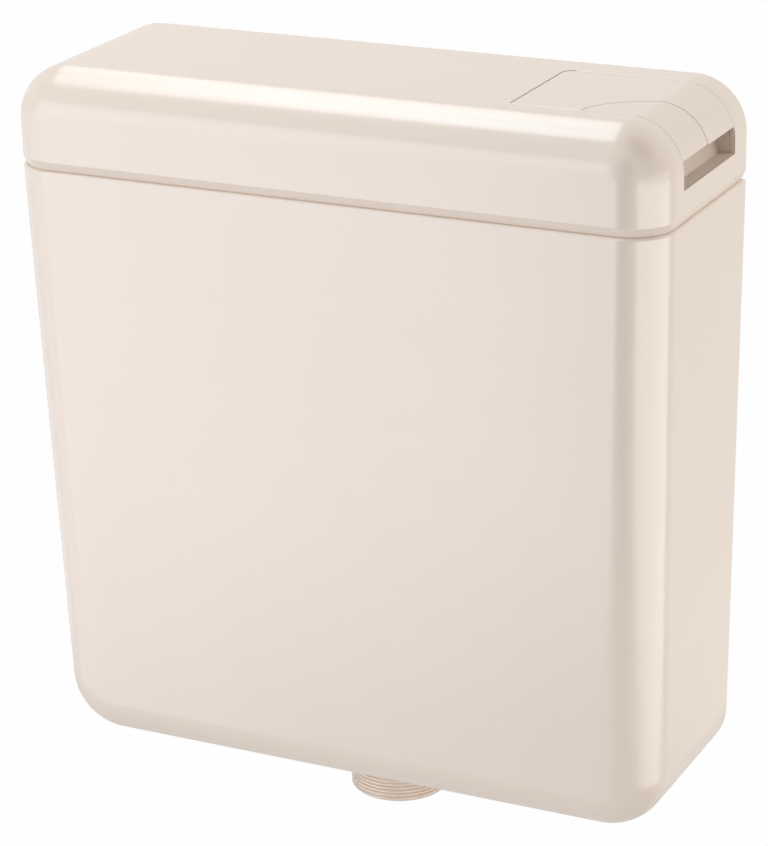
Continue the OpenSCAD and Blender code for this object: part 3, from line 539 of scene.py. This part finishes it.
def make_cradle():
    """Plate with an open mouth for the neck of the fill valve."""
    cradle = box((FILL_X - CRADLE_HALF, CRADLE_Y[0], CRADLE_LOW),
                 (FILL_X + CRADLE_HALF, CRADLE_Y[1], CRADLE_TOP))
    y0, y1 = CRADLE_Y[0] - OVER, CRADLE_Y[1] + OVER
    return cut(cradle, y_rod(NECK_R + LOOSE, FILL_X, FILL_Z, y0, y1),
               box((FILL_X - NECK_R - LOOSE, y0, FILL_Z), (FILL_X + NECK_R + LOOSE, y1, MOUTH_TOP)))


def make_tank():
    """Open shell with everything that is moulded to it."""
    tank = cut(tank_form(0, RIM_Z, RIM_ROUND), tank_form(WALL, RIM_Z + OVER))
    ledge_low = LEDGE_Z - LEDGE_T
    ledges = [box((LEVER_X - BRIDGE_HALF, y0, ledge_low), (LEVER_X + BRIDGE_HALF, y1, LEDGE_Z - SEAT))
              for y0, y1 in ((ROOT_FRONT, Y_FRONT + WALL + LEDGE_REACH),
                             (Y_BACK - WALL - LEDGE_REACH, ROOT_BACK))]
    cradle = make_cradle()
    arms = []
    for side in (-1, 1):
        x = FILL_X + side * (CRADLE_HALF - ARM_HALF)
        arms.append(box((x - ARM_HALF, CRADLE_Y[0], CRADLE_LOW), (x + ARM_HALF, ROOT_BACK, CRADLE_TOP)))
    add(tank, *ledges, cradle, *arms)
    cut(tank,
        rod(THREAD_R + RUN, (0, 0, UNDERSIDE_Z - OVER), (0, 0, UNDERSIDE_Z + WALL + OVER), sides=96),
        y_rod(SUPPLY_R, FILL_X, FILL_Z, Y_BACK - WALL - OVER, Y_BACK + OVER, sides=72),
        wall_slot(-SLOT_X), wall_slot(SLOT_X),
        *[rod(BRIDGE_SCREW_R + RUN, (LEVER_X, y, ledge_low - OVER), (LEVER_X, y, LEDGE_Z + OVER), sides=24)
          for y in BRIDGE_SCREW_Y])
    return soften(tank, TANK_EDGE, segments=3)


# Lid: shell with its drawn-in band, locating lip, screw bosses and the key bay
BOSSES = [(x, y) for x in (111.5, 161.5) for y in (-60.7, 34.2)]
BOSS_R = 4.0
BOSS_H = 8.0
CARRIER_SCREW_R = 1.5
CHEEK_GAP = 0.2
# The lip's root reaches this far above the band
LIP_ROOT = 3.0
# Plan outlines of the bay and keys reach past the lid's side
FAR_X = HALF_W + 12.0


def bay(gap, side_gap, z_low):
    """Plan of the key bay, less its gaps, as a tall block with its two inner corners rounded."""
    x0 = BAY_X + gap
    y0, y1 = BAY_Y0 + side_gap, BAY_Y1 - side_gap
    plan = [(FAR_X, y1), (FAR_X, y0)]
    for y, r, side, start in ((y0, BAY_R_FRONT, 1, 270), (y1, BAY_R_BACK, -1, 180)):
        plan += [(x0 + r + r * math.cos(a), y + side * r + r * math.sin(a))
                 for a in arc(start, start - 90, CORNER_STEPS)]
    return prism(plan, "z", z_low, TOP_Z + OVER)


def edge_round(at, out, z, low, high):
    """Cutter that rounds a straight upper edge along X; out is the side its material lies on."""
    y, low_z = at + out * BAY_EDGE, z - BAY_EDGE
    points = [(y - out * BAY_EDGE * math.cos(a), low_z + BAY_EDGE * math.sin(a))
              for a in arc(0, 90, EDGE_STEPS)]
    points += [(y, z + OVER), (at - out * OVER, z + OVER), (at - out * OVER, low_z)]
    return prism(points, "x", low, high)


def make_lid():
    """Hollow lid that is open below, at the key bay and at the finger slot."""
    seat = RIM_Z + LID_SEAT
    below = RIM_Z - 2 * LIP_H
    lid = add(lid_form(0, RIM_Z + BAND_H),
              solid(plan_points(0, RIM_Z + BAND_H) + plan_points(BAND_IN, seat)))
    cut(lid, lid_form(WALL, below))
    lip = add(solid(plan_points(WALL + LOOSE, RIM_Z - LIP_H, seat + BOND)),
              solid(plan_points(BAND_IN + BOND, seat, seat + BAND_H + LIP_ROOT)))
    cut(lip, solid(plan_points(WALL + LOOSE + LIP_T, below, RIM_Z + CLEAR)))
    roof = TOP_Z - WALL
    bosses = [rod(BOSS_R, (x, y, roof - BOSS_H), (x, y, roof + BOND), sides=40) for x, y in BOSSES]
    add(lid, lip, *bosses)
    cut(lid,
        bay(0.0, 0.0, KEY_Z - OVER),
        box((BAY_X, BAY_Y0 - CHEEK_GAP, SLOT_Z), (HALF_W + OVER, BAY_Y1 + CHEEK_GAP, KEY_Z)),
        edge_round(BAY_Y1, 1, TOP_Z, BAY_X + BAY_R_BACK, HALF_W),
        edge_round(BAY_Y0, -1, TOP_Z, BAY_X + BAY_R_FRONT, HALF_W),
        *[rod(CARRIER_SCREW_R + RUN, (x, y, roof - BOSS_H - OVER), (x, y, roof - OVER), sides=24)
          for x, y in BOSSES])
    return soften(lid, LIP_EDGE, segments=2, where=lambda p: p.z < RIM_Z - OVER)


# Push keys: the wrapped skin of the lid, cut along the quarter ellipse of the tongue
FULL_LUGS = (-43.5, 14.5)
FULL_LUG_W = 4.0
FULL_POST = (160.0, 0.0)
PART_POST = (168.0, -40.0)
PART_LUG = (-48.5, -41.0)
PART_NECK_END = -42.5
TONGUE_STEPS = 96
# Rounds of the search for the angle at which the skin meets its lower edge
NOSE_ROUNDS = 4
# Points of an outline are further apart than this
APART = 1e-6


def skin_outline(depth, nose):
    """Section of a key: along its top, round the corner and down to a lower edge of radius nose, and back."""
    x_c, z_c = HALF_W - LID_R, TOP_Z - LID_R
    low = 0.0
    for _ in range(NOSE_ROUNDS):
        low = math.asin((KEY_Z + nose * (1 + math.sin(low)) - z_c) / LID_R)
    low_in = math.asin((KEY_Z - z_c) / (LID_R - depth))
    roof = TOP_Z - KEY_SINK
    points = [(BAY_X, roof)]
    for a in arc(90, math.degrees(low), 2 * QUARTER):
        points.append((x_c + LID_R * math.cos(a), min(z_c + LID_R * math.sin(a), roof)))
    centre = (x_c + (LID_R - nose) * math.cos(low), KEY_Z + nose)
    points += [(centre[0] + nose * math.cos(a), centre[1] + nose * math.sin(a))
               for a in arc(math.degrees(low), -90, NOSE_STEPS)[1:]]
    points += [(x_c + (LID_R - depth) * math.cos(a), z_c + (LID_R - depth) * math.sin(a))
               for a in arc(math.degrees(low_in), 90, 2 * QUARTER)]
    points.append((BAY_X, TOP_Z - depth))
    return points


def tongue_point(grow, a):
    """Point of the tongue's quarter ellipse at an angle."""
    return (HALF_W + TONGUE_OVER - (TONGUE_LEN + TONGUE_OVER + grow) * math.cos(a),
            BAY_Y0 + (TONGUE_W + grow) * math.sin(a))


def tongue(grow):
    """Points of the quarter ellipse from the tip of the tongue to the side of the lid."""
    return [tongue_point(grow, a) for a in arc(0, 90, TONGUE_STEPS)]


def key_skin(depth, nose, plan):
    """A wrapped skin within a plan outline."""
    return keep(prism(skin_outline(depth, nose), "y", BAY_Y0, BAY_Y1),
                prism(plan, "z", KEY_Z - OVER, TOP_Z + OVER))


def hanging(x, z, half, top, y0, y1):
    """A block that hangs from a level and ends in a half round below."""
    outline = [(x + half * math.cos(a), z + half * math.sin(a)) for a in arc(180, 360, HALF_ROUND)]
    outline += [(x + half, top), (x - half, top)]
    return prism(outline, "y", y0, y1)


def press_post(x, y, top):
    """Post with a round tip that bears on the pad of a lever."""
    return hanging(x, PAD_TOP + POST_GAP + POST_T / 2, POST_T / 2, top, y - LEVER_T / 2, y + LEVER_T / 2)


def make_full_key():
    """The larger key: everything in the bay but the tongue."""
    tip_y = BAY_Y0 + KEY_SIDE_GAP
    plan = [p for p in tongue(KEY_GAP / 2)[::-1] if p[1] > tip_y]
    plan = [(FAR_X, plan[0][1])] + plan
    plan += [(plan[-1][0], tip_y), (BAY_X, tip_y), (BAY_X, BAY_Y1), (FAR_X, BAY_Y1)]
    key = key_skin(FULL_KEY_T, FULL_KEY_NOSE, plan)
    keep(key, bay(KEY_GAP, KEY_SIDE_GAP, KEY_Z - OVER))
    roof = TOP_Z - KEY_SINK
    cut(key, edge_round(tip_y, 1, roof, BAY_X, HALF_W),
        edge_round(BAY_Y1 - KEY_SIDE_GAP, -1, roof, BAY_X, HALF_W))
    under = TOP_Z - FULL_KEY_T + BOND
    lugs = [hanging(*FULL_PIN, LUG_R, under, y, y + FULL_LUG_W) for y in FULL_LUGS]
    add(key, *lugs, press_post(*FULL_POST, under))
    return cut(key, y_rod(KEY_PIN_R + RUN, *FULL_PIN, BAY_Y0, BAY_Y1, sides=32))


def make_part_key():
    """The tongue-shaped key at the front."""
    side_y = BAY_Y0 + KEY_SIDE_GAP
    grow = -KEY_GAP / 2
    foot = math.asin(KEY_SIDE_GAP / (TONGUE_W + grow))
    plan = [(tongue_point(grow, foot)[0], side_y)]
    plan += [p for p in tongue(grow) if p[1] > side_y + APART]
    plan += [(FAR_X, plan[-1][1]), (FAR_X, side_y)]
    key = key_skin(PART_KEY_T, PART_KEY_NOSE, plan)
    under = TOP_Z - PART_KEY_T + BOND
    barrel = y_rod(LUG_R, *PART_PIN, *PART_LUG)
    neck = box((PART_PIN[0], PART_LUG[0], PART_PIN[1]), (PART_PIN[0] + LUG_R, PART_NECK_END, under))
    add(key, barrel, neck, press_post(*PART_POST, under))
    return cut(key, y_rod(KEY_PIN_R + RUN, *PART_PIN, BAY_Y0, BAY_Y1, sides=32))


# Outlet spigot with a true helical thread
BORE_R = 25.2
BORE_H = 29.0
THROAT_R = 23.0
SEAT_Z = 43.0
SEAT_FOOT = 2.0
SEAT_T = 1.4
FLANGE_R = 35.5
FLANGE_Z = 35.5
FLANGE_T = 4.0
VALVE_R = 28.0
CHAMFER = 0.5
SMALL_CHAMFER = 0.4
# The flange's underside falls by this much towards the thread
FLANGE_FALL = 0.02
THREAD_DEPTH = 1.4
THREAD_TOP = 16.6
PITCH = 2.309
# Width of a root as a share of the pitch, and height and depth of the lead-in at the mouth
ROOT_WIDTH = 0.2
LEAD_H = 1.4
LEAD_DEPTH = 0.9
SPIGOT_SIDES = 128
# Rows of points for each turn of the thread
ROWS = 11


def thread_radius(turn, z):
    """Outer radius at a height: round crests and narrow roots along a helix, run out at both ends."""
    phase = (z / PITCH - turn) % 1.0
    depth = THREAD_DEPTH * math.exp(-((phase - 0.5) / ROOT_WIDTH) ** 2)
    depth *= min(1.0, max(0.0, (THREAD_TOP - z) / PITCH))
    lead = max(0.0, 1.0 - z / LEAD_H)
    return THREAD_R - max(depth, THREAD_DEPTH * LEAD_DEPTH * lead)


def make_spigot():
    """Bore, thread, flange and valve seat as one turned skin."""
    flange_top = FLANGE_Z + FLANGE_T
    inner = [(BORE_R, BORE_H), (BORE_R, CHAMFER), (BORE_R + CHAMFER, 0.0)]
    levels = [i * PITCH / ROWS for i in range(int(THREAD_TOP / PITCH * ROWS) + 2)]
    upper = [(THREAD_R, FLANGE_Z - FLANGE_FALL), (FLANGE_R - SMALL_CHAMFER, FLANGE_Z),
             (FLANGE_R, FLANGE_Z + SMALL_CHAMFER), (FLANGE_R, flange_top - CHAMFER),
             (FLANGE_R - CHAMFER, flange_top), (VALVE_R - CHAMFER, flange_top),
             (THROAT_R + SEAT_FOOT, SEAT_Z - SMALL_CHAMFER), (THROAT_R + SEAT_T, SEAT_Z),
             (THROAT_R + SMALL_CHAMFER, SEAT_Z), (THROAT_R, SEAT_Z - SMALL_CHAMFER), (THROAT_R, BORE_H)]
    bm = bmesh.new()

    def ring(radius_at, z):
        points = []
        for i, t in enumerate(turns(SPIGOT_SIDES)):
            r = radius_at(i / SPIGOT_SIDES)
            points.append(bm.verts.new((r * math.cos(t), r * math.sin(t), z)))
        return points

    rings = [ring(lambda turn, r=r: r, z) for r, z in inner]
    rings += [ring(lambda turn, z=z: thread_radius(turn, z), z) for z in levels]
    rings += [ring(lambda turn, r=r: r, z) for r, z in upper]
    skin(bm, rings)
    return as_object(bm)


# Return springs of the keys: a helix of round wire with flat ends
COIL_R = 3.4
WIRE_R = 0.5
COIL_TURNS = 6
WIRE_SIDES = 12
TURN_STEPS = 40


def make_spring(x, y, height):
    """Helix that stands on the carrier's strut."""
    bm = bmesh.new()
    steps = COIL_TURNS * TURN_STEPS
    rings = []
    for i in range(steps + 1):
        t = 2 * math.pi * i / TURN_STEPS
        z = STRUT_TOP + WIRE_R + (height - 2 * WIRE_R) * i / steps
        ring = []
        for a in turns(WIRE_SIDES):
            r = COIL_R + WIRE_R * math.cos(a)
            ring.append(bm.verts.new((x + r * math.cos(t), y + r * math.sin(t), z + WIRE_R * math.sin(a))))
        rings.append(ring)
    for low, high in zip(rings, rings[1:]):
        for k in range(WIRE_SIDES):
            j = (k + 1) % WIRE_SIDES
            bm.faces.new((low[k], low[j], high[j], high[k]))
    bm.faces.new(rings[0])
    bm.faces.new(rings[-1])
    return as_object(bm)


# Pan-head screws with a cross recess
SCREW_SIDES = 40
HEAD_STEPS = 8
# Share of the head's height that is straight, and the small edge where it bears
HEAD_STRAIGHT = 0.35
HEAD_EDGE = (0.2, 0.3)
# Blunt tip: share of the shank's radius, and its length
TIP_SHARE = 0.55
TIP_H = 1.2
# Ends of a turned profile stay off the axis
AXIS_R = 0.01
# Recess: reach and half width as shares of the head's radius, depth as a share of its height
RECESS_REACH = 0.55
RECESS_HALF = 0.13
RECESS_DEPTH = 0.6


def make_screw(x, y, z, shank_r, length, head_r, head_h, up):
    """A screw whose head bears on the level z; up is +1 where the shank points up."""
    straight = head_h * HEAD_STRAIGHT
    dome = [(head_r * math.sin(a), -up * (straight + (head_h - straight) * math.cos(a)))
            for a in arc(90, 0, HEAD_STEPS)]
    profile = [(AXIS_R, up * length), (shank_r * TIP_SHARE, up * length), (shank_r, up * (length - TIP_H)),
               (shank_r, 0.0), (head_r - HEAD_EDGE[0], 0.0), (head_r, -up * HEAD_EDGE[1])]
    profile += dome[:-1] + [(AXIS_R, dome[-1][1])]
    screw = lathe(profile, SCREW_SIDES, (x, y, z))
    top = z - up * head_h
    levels = sorted((top - up, top + up * head_h * RECESS_DEPTH))
    reach, half = head_r * RECESS_REACH, head_r * RECESS_HALF
    for dx, dy in ((reach, half), (half, reach)):
        cut(screw, box((x - dx, y - dy, levels[0]), (x + dx, y + dy, levels[1])))
    return screw


# Foam tray inside the tank
LINER_GAP = 0.3
LINER_T = 5.0
LINER_TOP = 294.0
LINER_HOLE_R = 38.5


def make_liner():
    """Tray that follows the tank's inside up to a level, open round the outlet."""
    liner = tank_form(WALL + LINER_GAP, RIM_Z)
    cut(liner, tank_form(WALL + LINER_GAP + LINER_T, RIM_Z + OVER),
        box((-HALF_W, Y_FRONT, LINER_TOP), (HALF_W, Y_BACK, RIM_Z + CLEAR)),
        rod(LINER_HOLE_R, (0, 0, UNDERSIDE_Z), (0, 0, UNDERSIDE_Z + WALL + LINER_T + CLEAR), sides=72))
    return soften(liner, LINER_EDGE, segments=3)


finish_piece(make_tank(), "tank_shell", "ivory_plastic", "tank", "tank")
finish_piece(make_lid(), "lid_shell", "ivory_plastic", "lid", "lid", crisp=LID_SHARP_ANGLE)
finish_piece(make_full_key(), "key_full", "ivory_plastic", "full_key", "full_flush_key")
finish_piece(make_part_key(), "key_part", "ivory_plastic", "part_key", "part_flush_key")
finish_piece(make_spigot(), "spigot_threaded", "ivory_plastic", "tank", "outlet_spigot")
finish_piece(make_liner(), "liner_beaded", "foam", "tank", "foam_liner")

# Name, node, place, height, joint, and the share of the height that is left when the key is pressed
SPRINGS = (("spring_full", "full_key_spring", 149.5, 13.0, 20.6, "full_key_press", 0.76),
           ("spring_part", "part_key_spring", 157.0, -44.0, 21.6, "part_key_press", 0.88))
for name, node, x, y, height, joint, left in SPRINGS:
    spring = finish_piece(make_spring(x, y, height), name, "steel", "lid", node)
    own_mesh(spring)

BRIDGE_TOP = 387.5
TAB_Z = 435.4
BRIDGE_SCREW = {"shank_r": BRIDGE_SCREW_R, "length": 17.0, "head_r": 3.2, "head_h": 2.0, "up": -1}
CARRIER_SCREW = {"shank_r": CARRIER_SCREW_R, "length": 9.5, "head_r": 3.0, "head_h": 2.0, "up": 1}
finish_piece(joined(*[make_screw(LEVER_X, y, BRIDGE_TOP, **BRIDGE_SCREW) for y in BRIDGE_SCREW_Y]),
             "screws_bridge", "steel", "tank", "bridge_screws")
finish_piece(joined(*[make_screw(x, y, TAB_Z, **CARRIER_SCREW) for x, y in BOSSES]),
             "screws_carrier", "steel", "lid", "carrier_screws")

# The rest of the mechanism keeps its solids, with softened edges and node materials
slots = {s["node"]: s["material_slot"] for s in frame["record"]["subparts"]}
# Widths of the softened edges in millimetres, by slot and otherwise
EDGE = {"steel": 0.15, "black_rubber": 0.2, "carrier_plastic": 0.1}
OTHER_EDGE = 0.35
EDGE_ANGLE = 40.0
# Doubled points of a solid lie within this, in metres
WELD = 0.000005
# The slots of this piece leave no room for rounded edges
UNROUNDED = {"valve_basket"}
for name, node in nodes.items():
    if node.hide_render:
        continue
    node.data.materials.clear()
    node.data.materials.append(looks[slots[name]])
    weld = node.modifiers.new("weld", "WELD")
    weld.merge_threshold = WELD
    if name in UNROUNDED:
        continue
    round_edges = node.modifiers.new("round", "BEVEL")
    round_edges.width = EDGE.get(slots[name], OTHER_EDGE) * MM
    round_edges.segments = 2
    round_edges.limit_method = "ANGLE"
    round_edges.angle_limit = math.radians(EDGE_ANGLE)
    round_edges.harden_normals = False
    normals = node.modifiers.new("normals", "WEIGHTED_NORMAL")
    normals.mode = "FACE_AREA"
    node.data.shade_smooth()

# Floor below the hanging part, in metres, and how bright the camera and reflections see it
FLOOR_Z = -0.9
FLOOR_HALF = 9.0
FLOOR_COLOUR = (0.62, 0.61, 0.60, 1.0)
FLOOR_SEEN = 0.985
FLOOR_MIRRORED = 0.4


def by_ray(tree, seen, mirrored, else_value):
    """A value for rays from the camera or a refraction, another for reflections and one for the rest."""
    path = tree.nodes.new("ShaderNodeLightPath")
    value = None
    levels = {"Is Glossy Ray": mirrored, "Is Transmission Ray": seen, "Is Camera Ray": seen}
    for outlet, level in levels.items():
        pick = tree.nodes.new("ShaderNodeMix")
        tree.links.new(path.outputs[outlet], pick.inputs[0])
        pick.inputs[2].default_value = else_value
        if value is not None:
            tree.links.new(value, pick.inputs[2])
        pick.inputs[3].default_value = level
        value = pick.outputs[0]
    return value


def make_floor():
    """A pale floor that keeps its shade for light and is nearly white for the camera."""
    bm = bmesh.new()
    bmesh.ops.create_grid(bm, x_segments=8, y_segments=8, size=FLOOR_HALF)
    for v in bm.verts:
        v.co.z = FLOOR_Z
    floor = as_object(bm, "floor")
    mat = bpy.data.materials.new("floor_white")
    mat.use_nodes = True
    tree = mat.node_tree
    tree.nodes.clear()
    out = tree.nodes.new("ShaderNodeOutputMaterial")
    diffuse = tree.nodes.new("ShaderNodeBsdfDiffuse")
    diffuse.inputs["Color"].default_value = FLOOR_COLOUR
    glow = tree.nodes.new("ShaderNodeEmission")
    glow.inputs["Color"].default_value = (1.0, 1.0, 1.0, 1.0)
    glow.inputs["Strength"].default_value = 1.0
    mix = tree.nodes.new("ShaderNodeMixShader")
    tree.links.new(by_ray(tree, FLOOR_SEEN, FLOOR_MIRRORED, 0.0), mix.inputs["Fac"])
    tree.links.new(diffuse.outputs[0], mix.inputs[1])
    tree.links.new(glow.outputs[0], mix.inputs[2])
    tree.links.new(mix.outputs[0], out.inputs["Surface"])
    floor.data.materials.append(mat)


make_floor()

# White surround: strength for the camera, for reflections and for the light it gives
WORLD_SEEN = 1.0
WORLD_MIRRORED = 0.9
AMBIENT = 0.44
world = bpy.data.worlds.new("studio")
bpy.context.scene.world = world
world.use_nodes = True
sky = world.node_tree
surround = sky.nodes["Background"]
surround.inputs["Color"].default_value = (1.0, 1.0, 1.0, 1.0)
sky.links.new(by_ray(sky, WORLD_SEEN, WORLD_MIRRORED, AMBIENT), surround.inputs["Strength"])

# Soft boxes and cards, in metres: what they face, and the colours of the light
AIM = (0.0, -0.07, 0.25)
TOP = (0.0, -0.07, 0.44)
SIDE = (0.20, -0.05, 0.20)
CORNER = (0.184, -0.075, 0.44)
ALONG_X = (1.0, 0.0, 0.0)
ALONG_Y = (0.0, 1.0, 0.0)
WHITE = (1.0, 1.0, 1.0)
COOL = (0.88, 0.925, 1.0)
MILD = (0.90, 0.91, 0.91)
ICY = (0.35, 0.72, 1.0)


def facing(place, target, across):
    """Where a card or light stands that faces a target, with its width along the direction across."""
    out = (Vector(place) - Vector(target)).normalized()
    right = Vector(across)
    right = (right - out * out.dot(right)).normalized()
    turn = Matrix((right, out.cross(right), out)).transposed().to_4x4()
    return Matrix.Translation(place) @ turn


def softbox(name, place, target, across, size, radiance, colour=WHITE, mirrored=True, diffused=True):
    """A rectangular light whose power follows from its radiance and area.
    It is left out of reflections where not mirrored, and lights by reflection only where not diffused."""
    lamp = bpy.data.lights.new(name, "AREA")
    lamp.shape = "RECTANGLE"
    lamp.size, lamp.size_y = size
    lamp.energy = radiance * math.pi * size[0] * size[1]
    lamp.color = colour
    obj = bpy.data.objects.new(name, lamp)
    bpy.context.scene.collection.objects.link(obj)
    obj.visible_camera = False
    obj.visible_glossy = mirrored
    obj.visible_diffuse = diffused
    obj.matrix_world = facing(place, target, across)


def flag(name, place, target, across, size):
    """A black card that only reflections see: gloss is darker where it mirrors the card."""
    bm = bmesh.new()
    half_w, half_h = size[0] / 2, size[1] / 2
    bm.faces.new([bm.verts.new(p) for p in ((-half_w, -half_h, 0), (half_w, -half_h, 0),
                                            (half_w, half_h, 0), (-half_w, half_h, 0))])
    card = as_object(bm, name)
    card.data.materials.append(card_black)
    card.visible_camera = False
    card.visible_diffuse = False
    card.visible_transmission = False
    card.visible_volume_scatter = False
    card.visible_shadow = False
    card.matrix_world = facing(place, target, across)


softbox("front_left", (-1.11, -1.85, -0.41), AIM, (0.85, -0.53, 0.0), (1.26, 1.7), 2.18, COOL)
softbox("left", (-1.885, -0.99, -0.41), AIM, (0.438, -0.899, 0.0), (1.26, 1.7), 1.15, COOL, diffused=False)
softbox("left_rear", (-2.25, 0.47, -0.53), AIM, (0.26, 0.97, 0.0), (1.78, 1.3), 0.6, COOL, diffused=False)
softbox("left_fill", (-0.90, -1.75, 0.0), AIM, (1.0, -0.54, 0.0), (1.0, 1.0), 1.25, COOL, mirrored=False)
softbox("front_top", (-1.23, -1.83, 0.76), AIM, (1.0, -0.7, 0.0), (1.8, 0.8), 2.0, COOL)
softbox("front_high", (-0.70, -1.27, 1.69), AIM, (1.0, -0.5, 0.0), (1.6, 1.2), 0.6, COOL)
softbox("overhead_back", (-0.645, 0.59, 1.62), TOP, ALONG_X, (0.72, 1.06), 2.4, MILD)
softbox("overhead_mid", (-0.645, -0.205, 1.79), TOP, ALONG_X, (0.72, 0.64), 3.3, MILD)
softbox("overhead_strip", (-0.49, 0.10, 1.74), TOP, ALONG_X, (0.58, 1.15), 1.5, ICY, diffused=False)
softbox("right_low", (1.70, -0.42, -0.35), SIDE, ALONG_Y, (3.14, 1.0), 2.5, diffused=False)
softbox("right_edge", (1.92, -0.42, 0.34), SIDE, ALONG_Y, (3.14, 0.45), 1.1, diffused=False)
softbox("right_mid", (1.70, 0.15, -0.15), SIDE, ALONG_Y, (2.5, 1.0), 1.55, mirrored=False)
softbox("right_back", (1.15, 1.78, -0.59), SIDE, (0.8, -0.5, 0.0), (1.6, 1.4), 0.35)
softbox("right_high", (1.55, 0.60, 1.55), SIDE, ALONG_Y, (1.2, 1.2), 2.15, mirrored=False)
softbox("back", (0.30, 2.40, 0.60), AIM, ALONG_X, (2.0, 1.4), 1.0, mirrored=False)
softbox("front_right", (1.20, -1.83, -0.55), AIM, (1.0, 0.6, 0.0), (0.9, 1.4), 0.3)

card_black = material("card_black", Base_Color=(0.01, 0.01, 0.01, 1.0), Roughness=1.0,
                      Specular_IOR_Level=0.0)[0]
flag("flag_front", (0.51, -2.48, 0.62), (0.51, 0.0, 0.62), (0.927, 0.0, -0.375), (1.1, 3.5))
flag("flag_high", (0.98, -0.365, 1.80), CORNER, ALONG_Y, (1.3, 1.3))

# Camera fitted to the photograph's outline and seams: place in metres, turn, dip and roll in degrees
EYE = (0.767444, -1.558594, 0.883219)
EYE_TURN = 26.381
EYE_DIP = 20.502
EYE_ROLL = -1.382
camera = bpy.data.cameras.new("camera")
camera.lens = 134.385
camera.sensor_width = 36.0
camera.clip_end = 60.0
eye = bpy.data.objects.new("camera", camera)
bpy.context.scene.collection.objects.link(eye)
eye.matrix_world = (Matrix.Translation(EYE)
                    @ Matrix.Rotation(math.radians(EYE_TURN), 4, "Z")
                    @ Matrix.Rotation(math.radians(90 - EYE_DIP), 4, "X")
                    @ Matrix.Rotation(math.radians(EYE_ROLL), 4, "Z"))
bpy.context.scene.camera = eye
bpy.context.scene.view_settings.view_transform = "Standard"
